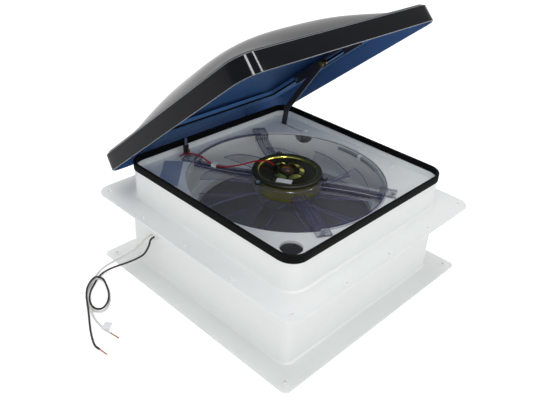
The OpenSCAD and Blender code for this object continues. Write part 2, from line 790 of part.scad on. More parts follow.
// Plug in the deck's front hole
module deck_plug() {
    z0 = deck_top - deck_hole_l;
    color("black") {
        post(deck_hole_at, deck_hole_r - seat_gap, z0, deck_top - 4);
        post(deck_hole_at, deck_hole_r + 2, z0 - 1.5, z0);
    }
}

module deck_screws() {
    color("silver") for (p = deck_screw_places()) pan_screw(p, deck_top, deck_t + 5);
}

// Gearbox under the deck: a box open on one side, with bearings for the worm and the arm, and a notch
// in its front wall for the shut arm
module gearbox_case() {
    ear_z = deck_bottom - 6;
    ear_r = 4.2;
    x0 = case_x0 - case_wall;
    y0 = case_y0 - case_wall;
    y1 = case_y1 + case_wall;
    shut = elbow_angle - arm_swing();
    notch_z = pivot_z + (pivot_y - case_y0)*tan(shut) - arm_w/2/cos(shut) - 2;
    color("lightgray") difference() {
        union() {
            translate([x0, y0, case_z0 - case_wall])
                cube([case_x1 - x0, y1 - y0, deck_bottom - case_z0 + case_wall]);
            for (p = case_screw_places()) {
                from = min(p[1] - ear_r, y1 - 1);
                to = max(p[1] + ear_r, y0 + 1);
                translate([p[0] - ear_r, from, ear_z]) cube([2*ear_r, to - from, deck_bottom - ear_z]);
            }
        }
        difference() {
            translate([case_x0, case_y0, case_z0])
                cube([case_x1, case_y1 - case_y0, deck_bottom - case_z0 + 1]);
            translate([arm_x + arm_t/2 + 0.5, case_y0 - 1, deck_bottom - 6])
                cube([case_x1, worm_d + 4, 4]);
        }
        translate([arm_x - slot_half, y0 - 1, notch_z]) cube([2*slot_half, case_wall + 2, deck_bottom]);
        post(lift_at, lift_shaft_r + run_gap, case_z0 - 10, case_z0 + 1);
        post(lift_at, lift_journal_r + run_gap, deck_bottom - 9, deck_bottom + 1);
        bar_x(pivot, pivot_pin_r, x0 - 1, case_x0 + 1);
        for (p = case_screw_places()) post(p, screw_hole_r, ear_z - 1, deck_bottom + 1);
    }
}

module gearbox_cover() {
    y0 = case_y0 - case_wall;
    y1 = case_y1 + case_wall;
    color("silver") difference() {
        translate([case_x1, y0, case_z0 - case_wall])
            cube([case_wall, y1 - y0, deck_bottom - case_z0 + case_wall]);
        bar_x(pivot, pivot_pin_r, case_x1 - 1, case_x1 + case_wall + 1);
    }
}

module arm_pivot_pin() {
    color("gray") bar_x(pivot, pivot_pin_r, case_x0 - case_wall, case_x1 + case_wall);
}

// Bent lift arm: a strap from the pivot by the elbow to the lift pin
module lift_arm() {
    module leg(a, b) {
        d = b - a;
        translate(a) rotate(atan2(d[1], d[0])) translate([0, -arm_w/2]) square([norm(d), arm_w]);
    }
    color("dimgray") translate([arm_x + arm_t/2, 0, 0]) rotate([90, 0, -90]) mirror([1, 0, 0])
        linear_extrude(arm_t) difference() {
            union() {
                leg(pivot, elbow);
                leg(elbow, lift_pin);
                for (p = [pivot, elbow, lift_pin]) translate(p) circle(arm_end_r);
            }
            translate(pivot) circle(pivot_pin_r + run_gap);
            translate(lift_pin) circle(lift_pin_d/2 + run_gap);
        }
}

module lift_pin() {
    x0 = arm_x - arm_t/2;
    x1 = track_plate_x + track_plate_t;
    color("gold") {
        bar_x(lift_pin, lift_pin_d/2, x0 - 1.8, x1 + 0.6);
        bar_x(lift_pin, lift_pin_d/2 + 2, x0 - 2, x0 - 0.05);
        bar_x(lift_pin, lift_pin_d/2 + 2, x1 + 0.5, x1 + 1.9);
    }
}

// Worm wheel riveted to the arm: straight-sided teeth, with a gap towards the worm at rest
module worm_wheel() {
    tip = wheel_r + 0.7*wheel_m;
    root = wheel_r - 1.4*wheel_m;
    step = 360/wheel_n;
    tip_a = 0.45*wheel_m/tip*180/PI;
    root_a = 0.95*wheel_m/root*180/PI;
    color("ivory") translate([wheel_x, pivot_y, pivot_z]) rotate([90, 0, 90])
        linear_extrude(wheel_w) difference() {
        polygon([for (i = [0:wheel_n - 1]) let (a = 180 + (i + 0.5)*step) each [
            root*[cos(a - root_a), sin(a - root_a)], tip*[cos(a - tip_a), sin(a - tip_a)],
            tip*[cos(a + tip_a), sin(a + tip_a)], root*[cos(a + root_a), sin(a + root_a)]]]);
        circle(pivot_pin_r + run_gap);
    }
    color("ivory") bar_ring(pivot, 7, pivot_pin_r + run_gap, arm_x + arm_t/2, wheel_x + 0.1);
}

module bar_ring(yz, r_out, r_in, x0, x1) {
    difference() {
        bar_x(yz, r_out, x0, x1);
        bar_x(yz, r_in, x0 - 1, x1 + 1);
    }
}

// Worm: a right-hand thread on the lift shaft, its crest at the wheel's axis height
module worm_shaft() {
    turns = 5;
    per_turn = 16;
    core = worm_d/2 - 1.4*wheel_m;
    z0 = pivot_z - worm_lead*(floor(turns/2) + 0.25);
    profile = [[core - 0.4, -0.8], [core - 0.4, 0.8], [worm_crest, 0.35], [worm_crest, -0.35]];
    rings = turns*per_turn;
    points = [for (i = [0:rings], p = profile) let (a = 360*i/per_turn)
        [p[0]*cos(a), p[0]*sin(a), z0 + worm_lead*i/per_turn + p[1]]];
    walls = [for (i = [0:rings - 1], k = [0:3]) let (a = 4*i + k, b = 4*i + (k + 1)%4)
        each [[a, a + 4, b], [b, a + 4, b + 4]]];
    ends = [[0, 1, 2, 3], [4*rings + 3, 4*rings + 2, 4*rings + 1, 4*rings]];
    color("dimgray") {
        translate([worm_x, worm_y, 0])
            polyhedron(points, concat(walls, ends));
        post(lift_at, core, pivot_z - 12, pivot_z + 12);
        post(lift_at, lift_journal_r, pivot_z + 10, deck_bottom - 1);
        post(lift_at, lift_shaft_r, knob_top - knob_h + 4, pivot_z - 11);
        post(lift_at, 6.5, case_z0 - case_wall - 3.4, case_z0 - case_wall - 0.4);
    }
}

module lift_knob() {
    color("white") difference() {
        grip(lift_at, lift_knob_d, 14);
        post(lift_at, lift_shaft_r + run_gap, knob_top - knob_h + 4, knob_top + 1);
    }
}

// Places a quarter-turn latch at the middle of one side of the screen
module latch_place(i) {
    rotate([0, 0, 90*i]) translate([latch_r, 0, 0]) children();
}

latch_blade_w = 4;
latch_blade_l = 13;

// Plate that holds the screen under the throat
module screen_frame() {
    holes = [lift_at, speed_at, thermostat_at];
    color("white") difference() {
        round_plate(throat_w/2 - 0.7, trim_r - 0.7, throat_z - screen_t, throat_z);
        translate([0, 0, throat_z - screen_t - 1]) cylinder(d = screen_d, h = screen_t + 2);
        for (p = holes) post(p, 6, throat_z - screen_t - 1, throat_z + 1);
        for (i = [0:3]) latch_place(i) translate([0, 0, throat_z - screen_t - 1])
            cylinder(d = latch_stem_d + 2*run_gap, h = screen_t + 2);
    }
}

// Insect screen, drawn as a coarse net: bars in two layers, whose ends lie on the frame
module insect_screen() {
    net_r = screen_d/2 + 5.5;
    pitch = screen_d/mesh_n;
    bar = 1.6;
    layer = (mesh_t - run_gap)/2;
    color("dimgray") {
        for (i = [-(mesh_n - 1)/2:(mesh_n - 1)/2]) {
            reach = sqrt(pow(net_r, 2) - pow(abs(i)*pitch + bar/2, 2));
            translate([i*pitch - bar/2, -reach, throat_z]) cube([bar, 2*reach, layer]);
            translate([-reach, i*pitch - bar/2, throat_z + mesh_t - layer]) cube([2*reach, bar, layer]);
        }
    }
}

// Quarter-turn latch: grip below the frame, stem through it and blade over the throat's lip
module screen_latch(i) {
    grip_top = throat_z - screen_t - 0.3;
    color("white") latch_place(i) {
        translate([0, 0, grip_top - 3]) cylinder(r = 7, h = 3);
        translate([-1.5, -6, grip_top - 9]) cube([3, 12, 7]);
        translate([0, 0, grip_top - 1]) cylinder(d = latch_stem_d, h = lip_top + 1.3 - grip_top);
        translate([-latch_blade_l/2, -latch_blade_w/2, lip_top + seat_gap])
            cube([latch_blade_l, latch_blade_w, 2]);
    }
}

module screen_latch_1() {
    screen_latch(0);
}

module screen_latch_2() {
    screen_latch(1);
}

module screen_latch_3() {
    screen_latch(2);
}

module screen_latch_4() {
    screen_latch(3);
}

// Ceiling trim: a square box round the throat with a flange against the ceiling
module ceiling_trim() {
    color("whitesmoke") difference() {
        union() {
            square_tube(trim_out, trim_in, trim_r + trim_wall, trim_bottom, -0.5);
            square_tube(trim_flange_w/2, trim_in, trim_flange_r, trim_bottom, trim_bottom + trim_flange_t);
            for (p = corners(trim_corner_span)) post(p, 7, trim_bottom, trim_bottom + trim_flange_t + 1);
        }
        for (p = corners(trim_corner_span))
            post(p, flange_hole_d/2, trim_bottom - 1, trim_bottom + trim_flange_t + 2);
        bar_x([exit_at[1], exit_at[2]], exit_r, -trim_out - 1, -trim_in + 1);
    }
}

module lead_exit_grommet() {
    at = [exit_at[1], exit_at[2]];
    color("black") {
        bar_x(at, exit_r - run_gap, -trim_out - 0.5, -trim_in);
        bar_x(at, exit_r + 2, -trim_out - 3, -trim_out);
    }
}

module supply_lead_black() {
    color("black") tube(black_route, lead_r, 2);
}

module supply_lead_white() {
    color("white") tube(white_route, lead_r, 2);
}

// Stripped copper end, straight on from the lead
module lead_tip(route) {
    e = len(route) - 1;
    d = unit(route[e] - route[e - 1]);
    translate(route[e] + 2*run_gap*d) rotate([0, acos(d[2]), atan2(d[1], d[0])])
        cylinder(r = lead_tip_r, h = lead_tip_l);
}

module lead_tips() {
    color("chocolate") lead_tip(black_route);
    color("chocolate") lead_tip(white_route);
}

// Bare flag folded round the white lead
module lead_tag() {
    p = white_route[tag_step];
    color("white") translate([p[0], p[1], p[2] + lead_r + run_gap]) rotate([0, 0, tag_turn])
        translate([-1.5, -tag_size[1]/2, 0]) cube(tag_size);
}

// Outline of the lid at one level: points round a square with round corners
corner_steps = 5;
side_steps = 6;
function lid_ring(half, r) = [for (q = [0:3]) each concat(
    [for (k = [0:corner_steps]) let (a = 90*q + 90*k/corner_steps, c = half - r)
        [c*(q == 0 || q == 3 ? 1 : -1), c*(q < 2 ? 1 : -1)] + r*[cos(a), sin(a)]],
    [for (k = [1:side_steps - 1]) let (c = half - r, s = c*(1 - 2*k/side_steps))
        q == 0 ? [s, half] : q == 1 ? [-half, s] : q == 2 ? [-s, -half] : [half, -s]])];

// Height of the dome over the border
function dome_side(v) = 1 - pow(min(abs(v)/(dome_w/2), 1), 3);
function dome(p) = dome_h*dome_side(p[0])*dome_side(p[1]);

// Levels of the lid's shell from the skirt's edge to the middle: half width, corner radius, height
inner_levels = [0.97, 0.9, 0.8, 0.68, 0.54, 0.4, 0.25, 0.1];
function lid_levels(w) = let (half = lid_w/2 - w, r = lid_r - w, top = border_top - w) concat(
    [[half, r, skirt_z], [half - skirt_lean, r, top - 2.5], [half - skirt_lean - 0.7, r, top - 0.8],
     [half - skirt_lean - 2.5, r - 1.5, top]],
    [for (f = inner_levels) [f*dome_w/2, min(r, f*dome_w/3), top]]);
function lid_points(w) = [for (l = lid_levels(w)) for (p = lid_ring(l[0], l[1]))
    [p[0], p[1], l[2] + dome(p)]];

// Domed lid shell: outer and inner skin joined at the skirt's edge
module lid_shell() {
    m = 4*(corner_steps + side_steps);
    levels = len(inner_levels) + 4;
    outer = lid_points(0);
    inner = lid_points(lid_wall);
    n = len(outer);
    tops = [[0, 0, border_top + dome_h], [0, 0, border_top + dome_h - lid_wall]];
    skin = [for (i = [0:levels - 2], k = [0:m - 1]) let (a = i*m + k, b = i*m + (k + 1)%m)
        each [[a, a + m, b], [b, a + m, b + m]]];
    peak = [for (k = [0:m - 1]) [(levels - 1)*m + k, 2*n, (levels - 1)*m + (k + 1)%m]];
    under = [for (f = skin) [f[2] + n, f[1] + n, f[0] + n]];
    under_peak = [for (k = [0:m - 1]) [(levels - 1)*m + (k + 1)%m + n, 2*n + 1, (levels - 1)*m + k + n]];
    edge = [for (k = [0:m - 1]) let (b = (k + 1)%m) each [[k, b, n + k], [b, n + b, n + k]]];
    color("darkslategray") lid_pose()
        polyhedron(concat(outer, inner, tops), concat(skin, peak, under, under_peak, edge), convexity = 8);
}

// Inner frame of the lid: the strip that meets the seal, and an upstand round the opening
module lid_inner_frame() {
    outer = lid_w/2 - lid_wall - skirt_lean - 3;
    inner = lid_frame_in/2;
    color("royalblue") lid_pose() {
        square_tube(outer, inner, lid_r - lid_wall, land_z, border_under);
        square_tube(inner + 2, inner - 0.5, 8, land_z, land_z + lid_frame_h);
    }
}

// Two leaves inside the lid's rear skirt, with knuckles on the hinge pins
module hinge_leaves() {
    face = lid_w/2 - lid_wall - skirt_lean - 0.2;
    leaf_t = 1.5;
    color("silver") lid_pose() for (x = hinge_xs) difference() {
        union() {
            bar_x([hinge_y, hinge_z], knuckle_d/2, x - knuckle_l/2, x + knuckle_l/2);
            translate([x - knuckle_l/2, face - leaf_t, hinge_z])
                cube([knuckle_l, leaf_t, land_z - 1 - hinge_z]);
        }
        bar_x([hinge_y, hinge_z], hinge_pin_d/2 + run_gap, x - knuckle_l, x + knuckle_l);
    }
}

// Slotted track for the lift pin, stood off the inner frame's upstand at both ends
module slide_track() {
    x1 = track_plate_x + track_plate_t;
    z0 = slide_z - track_plate_h/2;
    y0 = track_ends[1] - 6;
    y1 = track_ends[0] + 6;
    color("black") lid_pose() difference() {
        union() {
            translate([track_plate_x, y0, z0]) cube([track_plate_t, y1 - y0, track_plate_h]);
            for (y = track_ends) translate([track_plate_x, y - 6, z0])
                cube([lid_frame_in/2 - 0.5 - track_plate_x, 12, track_plate_h]);
        }
        translate([track_plate_x - 1, slide_y - track_back, slide_z - track_drop - track_half_w])
            cube([track_plate_t + 2, track_back + track_front, 2*track_half_w]);
        for (y = [slide_y - track_back, slide_y + track_front])
            bar_x([y, slide_z - track_drop], track_half_w, track_plate_x - 1, x1 + 1);
        for (y = track_ends) bar_x([y, slide_z], screw_hole_r, track_plate_x - 1, lid_frame_in/2);
    }
}

module track_screws() {
    color("silver") lid_pose() for (y = track_ends) {
        bar_x([y, slide_z], screw_r, track_plate_x - 0.5, lid_frame_in/2 - 0.6);
        bar_x([y, slide_z], 3, track_plate_x - 1.8, track_plate_x);
    }
}

// Twisted blades on a cup-shaped hub
module fan() {
    color("lavender", 0.5) difference() {
        union() {
            difference() {
                post([0, 0], hub_d/2, hub_bottom, hub_top);
                post([0, 0], hub_d/2 - hub_wall, hub_bottom + hub_wall, hub_top + 1);
            }
            post([0, 0], shaft_d/2 + 4, hub_bottom + 1, hub_top - 1);
            for (i = [0:blade_n - 1]) rotate([0, 0, 360*i/blade_n]) blade();
        }
        post([0, 0], shaft_d/2 + run_gap, hub_bottom - 1, hub_top + 1);
    }
}

// Blade: its chord sweeps an angle, and its pitch falls from root to tip
module blade() {
    spans = 6;
    chords = 6;
    root = hub_d/2 - hub_wall/2;
    mid = (hub_bottom + hub_top)/2;
    function place(i, k, side) = let (s = i/spans, t = k/chords - 0.5, r = root + (fan_d/2 - root)*s,
        a = (root_chord + (tip_chord - root_chord)*s)*t + blade_sweep*s,
        z = mid + (root_rise + (tip_rise - root_rise)*s)*t + blade_camber*(0.25 - t*t)*s)
        [r*cos(a), r*sin(a), z + side*blade_t/2];
    w = chords + 1;
    n = (spans + 1)*w;
    points = [for (side = [1, -1], i = [0:spans], k = [0:chords]) place(i, k, side)];
    top = [for (i = [0:spans - 1], k = [0:chords - 1]) let (a = i*w + k)
        each [[a, a + 1, a + w], [a + 1, a + w + 1, a + w]]];
    bottom = [for (f = top) [f[2] + n, f[1] + n, f[0] + n]];
    rim = concat([for (k = [0:chords]) k], [for (i = [1:spans]) i*w + chords],
        [for (k = [chords - 1:-1:0]) spans*w + k], [for (i = [spans - 1:-1:1]) i*w]);
    walls = [for (j = [0:len(rim) - 1]) let (a = rim[j], b = rim[(j + 1)%len(rim)])
        each [[a, a + n, b], [b, a + n, b + n]]];
    polyhedron(points, concat(top, bottom, walls), convexity = 4);
}

module motor_shaft() {
    color("silver") post([0, 0], shaft_d/2, hub_bottom - 6, motor_top + end_plate_t + 2.5);
}

module motor_armature() {
    outer = motor_d/2 - motor_wall - magnet_t - free_gap;
    color("brown") difference() {
        union() {
            post([0, 0], outer, can_bottom + motor_wall + 3, motor_top - 4.5);
            post([0, 0], 11.5, motor_top - 4.6, motor_top - 0.5);
        }
        post([0, 0], shaft_d/2 + run_gap, can_bottom, motor_top + 1);
    }
}

module hub_nut() {
    color("silver") translate([0, 0, hub_bottom - 5]) difference() {
        cylinder(r = 8, h = 5, $fn = 6);
        translate([0, 0, -1]) cylinder(d = shaft_d + 2*run_gap, h = 7);
    }
}

base_frame();
rim_seal();
fan_shroud();
hinge_brackets();
hinge_pins();
motor_mount();
mount_screws();
motor_can();
motor_end_plate();
motor_screws();
motor_bushes();
motor_magnets();
motor_brushes();
motor_label();
motor_grommet();
motor_lead();
lead_clip();
lid_switch_body();
lid_switch_terminal();
thermostat_bulb();
bulb_clip();
thermostat_tube();
thermostat_body();
speed_switch_body();
control_plate();
rating_plate();
deck_plug();
deck_screws();
gearbox_case();
gearbox_cover();
arm_pivot_pin();
screen_frame();
insect_screen();
ceiling_trim();
lead_exit_grommet();
supply_lead_black();
supply_lead_white();
lead_tips();
lead_tag();
lid_shell();
lid_inner_frame();
hinge_leaves();
slide_track();
track_screws();
lift_arm();
lift_pin();
worm_wheel();
worm_shaft();
lift_knob();
fan();
motor_shaft();
motor_armature();
hub_nut();
speed_knob();
thermostat_knob();
switch_plunger();
screen_latch_1();
screen_latch_2();
screen_latch_3();
screen_latch_4();
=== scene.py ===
"""Looks of a caravan roof vent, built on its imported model. Metres, +Z up, the lid open as it rests."""

import json
import math

import bmesh
import bpy
import numpy as np
from mathutils import Matrix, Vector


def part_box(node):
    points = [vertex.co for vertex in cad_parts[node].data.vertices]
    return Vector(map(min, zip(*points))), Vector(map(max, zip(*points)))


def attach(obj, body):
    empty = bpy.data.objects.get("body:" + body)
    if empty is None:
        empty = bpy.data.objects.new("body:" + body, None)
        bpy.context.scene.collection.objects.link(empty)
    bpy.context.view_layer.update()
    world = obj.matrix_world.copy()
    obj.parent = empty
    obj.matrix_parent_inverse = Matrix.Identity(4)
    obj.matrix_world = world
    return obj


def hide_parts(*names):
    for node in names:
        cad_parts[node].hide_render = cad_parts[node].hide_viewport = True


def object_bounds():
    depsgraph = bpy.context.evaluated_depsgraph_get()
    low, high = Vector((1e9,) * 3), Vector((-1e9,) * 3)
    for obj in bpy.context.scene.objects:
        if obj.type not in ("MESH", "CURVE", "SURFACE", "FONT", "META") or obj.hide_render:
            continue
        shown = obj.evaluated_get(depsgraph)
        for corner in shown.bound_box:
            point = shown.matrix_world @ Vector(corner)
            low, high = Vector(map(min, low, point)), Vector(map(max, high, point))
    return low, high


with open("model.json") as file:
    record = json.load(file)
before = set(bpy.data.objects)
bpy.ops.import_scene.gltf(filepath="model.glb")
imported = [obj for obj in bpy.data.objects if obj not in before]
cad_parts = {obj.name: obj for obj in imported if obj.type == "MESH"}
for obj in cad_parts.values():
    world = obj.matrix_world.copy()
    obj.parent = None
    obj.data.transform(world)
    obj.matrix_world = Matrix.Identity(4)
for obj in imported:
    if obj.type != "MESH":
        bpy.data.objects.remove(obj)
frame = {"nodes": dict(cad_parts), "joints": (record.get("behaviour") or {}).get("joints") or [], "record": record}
cad_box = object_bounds()
nodes = frame["nodes"]
joints = {j["name"]: j for j in frame["joints"]}
scene = bpy.context.scene
FLOOR_Z = cad_box[0][2]


def unit(v):
    """The vector at length 1."""
    return v / np.linalg.norm(v)


def placing(x, y, back, place):
    """World matrix of a camera or lamp with those axes at that place."""
    return Matrix([[*row] for row in np.column_stack([x, y, back, place])] + [[0, 0, 0, 1]])


def add_object(name, data):
    """A new object of the scene that holds the data."""
    obj = bpy.data.objects.new(name, data)
    scene.collection.objects.link(obj)
    return obj


# Camera: turned round the vent, rolled, and shifted in its own plane
AZIMUTH, ELEVATION, ROLL = np.radians([-47.447, 31.290, 3.452])
DISTANCE, SHIFT_X, SHIFT_Y = 1.02759, -0.01648, -0.00246
FOCAL_PX, WIDTH_PX, SENSOR_MM = 643.23, 550, 36.0


def add_camera():
    """Its back axis follows azimuth and elevation, the other two are turned by the roll, and it stands
    at the distance along the back axis, shifted along the other two."""
    level = math.cos(ELEVATION)
    back = np.array([math.sin(AZIMUTH) * level, -math.cos(AZIMUTH) * level, math.sin(ELEVATION)])
    right = unit(np.cross([0, 0, 1], back))
    up = np.cross(back, right)
    x = math.cos(ROLL) * right + math.sin(ROLL) * up
    y = math.cos(ROLL) * up - math.sin(ROLL) * right
    data = bpy.data.cameras.new("camera")
    data.sensor_width = SENSOR_MM
    data.lens = SENSOR_MM * FOCAL_PX / WIDTH_PX
    camera = add_object("camera", data)
    camera.matrix_world = placing(x, y, back, SHIFT_X * x + SHIFT_Y * y + DISTANCE * back)
    scene.camera = camera


add_camera()

# Leads: routes in millimetres, as in the model's source, from the exit or the deck to the far end
LEAD_R, RED_R = 0.0015, 0.0012
ROUTE_STEPS = 6
BLACK_ROUTE = [
    [-178, 110, -50.5], [-185, 109.5, -52], [-190.5, 108.5, -62], [-197, 113, -76], [-205.5, 124, -87.5],
    [-213.5, 138, -98.5], [-222, 151.5, -108], [-231.5, 161, -115], [-243, 163.5, -118.5],
    [-255, 158.5, -119.3], [-268, 149, -119.3], [-281, 138, -119.3], [-291, 125, -119.3],
    [-297, 111, -119.3], [-298, 99, -118.6], [-293, 90.5, -116.9], [-284.5, 91.5, -116.1],
    [-273.5, 100.5, -116.1], [-264.5, 113.5, -116.1], [-257.5, 130.5, -115.6], [-254, 146, -113.4],
    [-260.5, 155, -112], [-272.5, 150.5, -112], [-285, 140, -112], [-295, 126, -112.1],
    [-302.5, 112, -112.4], [-309.5, 98, -114.8], [-316, 86, -118.6], [-323, 73, -119.3],
    [-330, 59, -119.3], [-336, 45, -119.3], [-340, 32, -119.3], [-339, 23, -119.3],
]
WHITE_ROUTE = [
    [-178, 114.5, -47.5], [-185, 115, -48.5], [-191, 117, -53], [-197, 124, -64], [-203, 135, -78],
    [-210, 147, -91], [-219, 158, -101], [-230, 166, -109], [-242, 168.5, -114.5], [-256, 163.5, -118],
    [-270, 153.5, -119.3], [-283.5, 142, -119.3], [-294.5, 127.5, -119.3], [-301, 112, -119.3],
    [-302, 97, -119.3], [-295, 87.5, -119.3], [-284.5, 88.5, -119.3], [-273.5, 98, -119.3],
    [-264.5, 111.5, -119.3], [-257, 128.5, -119], [-254, 145, -117], [-260.5, 154, -115.5],
    [-272.5, 150, -115.6], [-285, 139.5, -115.6], [-295, 125.5, -115.6], [-301, 112, -115.7],
    [-305, 99, -116], [-308.5, 88, -117.6], [-311, 76, -119.1], [-312, 63, -119.3], [-312, 51, -119.3],
    [-310, 39, -119.3],
]
RED_ROUTE = [
    [-88, 156, 42.8], [-82, 155, 44.6], [-76, 151, 46], [-71, 143, 47], [-68, 131, 47.2],
    [-66.5, 124, 46.4], [-64.5, 115, 43], [-61, 101, 40.4], [-55, 88, 40.6], [-47, 78, 42.5],
    [-38, 68, 45.8], [-29, 59, 50], [-21, 50.5, 53.8], [-14, 42, 55.8], [-9.5, 33.5, 56.6],
    [-8.5, 26, 56.2], [-9.3, 19.8, 54.8],
]


def smooth_route(route):
    """Points in metres on the curve through the route: between two places a cubic whose slope at each
    place runs from the place before it to the one after it."""
    p = np.array(route, float) / 1000
    a = np.vstack([p[:1], p[:-2]])
    b, c = p[:-1], p[1:]
    d = np.vstack([p[2:], p[-1:]])
    t = (np.arange(ROUTE_STEPS) / ROUTE_STEPS)[None, :, None]
    a, b, c, d = (v[:, None, :] for v in (a, b, c, d))
    q = 0.5 * (2*b + (c - a)*t + (2*a - 5*b + 4*c - d)*t**2 + (3*b - a - 3*c + d)*t**3)
    return np.vstack([q.reshape(-1, 3), p[-1:]])


def lead(name, route, radius):
    """A round lead: a curve of that radius through the smooth route. Gives its points and length as well."""
    points = smooth_route(route)
    data = bpy.data.curves.new(name, "CURVE")
    data.dimensions = "3D"
    data.bevel_depth = radius
    data.bevel_resolution = 4
    data.use_fill_caps = True
    spline = data.splines.new("POLY")
    spline.points.add(len(points) - 1)
    spline.points.foreach_set("co", np.column_stack([points, np.ones(len(points))]).ravel())
    length = float(np.linalg.norm(np.diff(points, axis=0), axis=1).sum())
    return add_object(name, data), points, length


# Surfaces
CREASE = math.radians(38)
WELD_GAP = 1e-6


def wrap_faces(rows, columns, close_rows=False):
    """Quads of a grid whose columns run round and join, and whose rows join as well if asked."""
    i, j = np.meshgrid(np.arange(rows if close_rows else rows - 1), np.arange(columns), indexing="ij")
    k, n = (i + 1) % rows, (j + 1) % columns
    return np.stack([i*columns + j, i*columns + n, k*columns + n, k*columns + j], -1).reshape(-1, 4)


def add_mesh(name, points, faces, kinds=None, smooth=True, weld=False):
    """A mesh object from arrays. Kinds gives each face its place in the piece's list of materials, welding
    joins points that meet, such as those at a pole, and smooth faces keep edges past the crease angle."""
    data = bpy.data.meshes.new(name)
    data.from_pydata(np.asarray(points).tolist(), [], np.asarray(faces).tolist())
    if kinds is not None:
        data.polygons.foreach_set("material_index", np.asarray(kinds, np.int32))
    if weld:
        work = bmesh.new()
        work.from_mesh(data)
        bmesh.ops.remove_doubles(work, verts=work.verts, dist=WELD_GAP)
        work.to_mesh(data)
        work.free()
    data.polygons.foreach_set("use_smooth", np.full(len(data.polygons), smooth))
    if smooth:
        data.set_sharp_from_angle(angle=CREASE)
    return add_object(name, data)


def join(parts):
    """Several (points, faces, kinds) as one, with the faces counted on."""
    points, faces, kinds = zip(*parts)
    starts = np.cumsum([0] + [len(p) for p in points])
    return np.vstack(points), np.vstack([f + s for f, s in zip(faces, starts)]), np.concatenate(kinds)


def finish_piece(obj, body, looks, replaced=()):
    """Gives a piece its body, its looks by kind of face and the model's nodes it stands for."""
    for look in looks:
        obj.data.materials.append(LOOKS[look])
    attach(obj, body)
    if replaced:
        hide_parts(*replaced)
    return obj


def square_ring(half, radius, corner_steps=10, side_steps=16):
    """Points round a square of that half width with round corners, in the order of the angle."""
    c = half - radius
    turn = np.linspace(0, np.pi/2, corner_steps + 1)
    run = np.linspace(c, -c, side_steps + 1)[1:-1]
    corner = np.column_stack([c + radius*np.cos(turn), c + radius*np.sin(turn)])
    quarters = [np.vstack([corner, np.column_stack([run, np.full(len(run), half)])])]
    for _ in range(3):
        quarters.append(np.column_stack([-quarters[-1][:, 1], quarters[-1][:, 0]]))
    return np.vstack(quarters)


def box_profile(inside, outside, low, high):
    """Four corners of an upright rectangle, in the order of a closed profile."""
    return [(inside, low), (outside, low), (outside, high), (inside, high)]


def square_sweep(profile, radius):
    """A closed profile of (half width, height) carried round a square: each profile point makes one ring,
    whose corner radius grows with its half width from the given one at the narrowest."""
    profile = np.array(profile)
    base = profile[:, 0].min()
    plans = [square_ring(half, radius + half - base) for half in profile[:, 0]]
    rings = [np.column_stack([plan, np.full(len(plan), z)]) for plan, z in zip(plans, profile[:, 1])]
    return np.vstack(rings), wrap_faces(len(rings), len(rings[0]), True)


def lathe(profile, centre=(0, 0, 0), turns=96, kinds=None):
    """A closed profile of (radius, height) turned round a vertical line through the centre, with a kind for
    each step of the profile."""
    a = np.linspace(0, 2*np.pi, turns, endpoint=False)
    p = np.array(profile)
    points = np.stack([centre[0] + p[:, :1]*np.cos(a), centre[1] + p[:, :1]*np.sin(a),
                       centre[2] + np.repeat(p[:, 1:], turns, 1)], -1)
    return points.reshape(-1, 3), wrap_faces(len(p), turns, True), np.repeat(kinds or [0]*len(p), turns)


def bar(corners, kinds, ends):
    """A bar along four rows of corners, with both ends closed. Kinds are those of the side after each row."""
    points = np.stack(corners, 1).reshape(-1, 3)
    steps, last = len(corners[0]) - 1, len(points) - 4
    caps = [[3, 2, 1, 0], [last, last + 1, last + 2, last + 3]]
    faces = np.vstack([wrap_faces(steps + 1, 4), caps])
    return points, faces, np.append(np.tile(kinds, steps), [ends]*2)


def strip(path, width, low, high, kinds, ends):
    """An upright strip that follows a path in plan: at each place four corners, half the width to each side
    across the path and at the two heights. Kinds are those of the underside, the left side, the top and the
    right side."""
    path = np.array(path)
    ahead = np.gradient(path, axis=0)
    ahead /= np.linalg.norm(ahead, axis=1)[:, None]
    side = np.column_stack([-ahead[:, 1], ahead[:, 0]]) * width/2
    corners = [np.column_stack([path + k*side, np.full(len(path), z)])
               for k, z in ((-1, low), (1, low), (1, high), (-1, high))]
    return bar(corners, kinds, ends)


# Materials
ROUGH_SPREAD, LEAST_ROUGH, BUMP_DEPTH = 0.06, 0.02, 0.001
CLEAR_BLEND = 0.3


def linear(colour):
    """Linear values of a display colour given in 0 to 255."""
    c = np.array(colour) / 255
    return np.where(c <= 0.04045, c/12.92, ((c + 0.055)/1.055)**2.4)


def make_grain():
    """Node group: two noises of the object's coordinates make a tone from 0 to 1 and a fine height."""
    group = bpy.data.node_groups.new("grain", "ShaderNodeTree")
    for name in ("Coarse", "Fine"):
        group.interface.new_socket(name, in_out="INPUT", socket_type="NodeSocketFloat")
    for name in ("Tone", "Height"):
        group.interface.new_socket(name, in_out="OUTPUT", socket_type="NodeSocketFloat")
    add, link = group.nodes.new, group.links.new
    into, out = add("NodeGroupInput"), add("NodeGroupOutput")
    place = add("ShaderNodeTexCoord")
    for size, result, detail in (("Coarse", "Tone", 4.0), ("Fine", "Height", 2.0)):
        noise = add("ShaderNodeTexNoise")
        noise.inputs["Detail"].default_value = detail
        link(place.outputs["Object"], noise.inputs["Vector"])
        link(into.outputs[size], noise.inputs["Scale"])
        link(noise.outputs["Fac"], out.inputs[result])
    return group


GRAIN = make_grain()


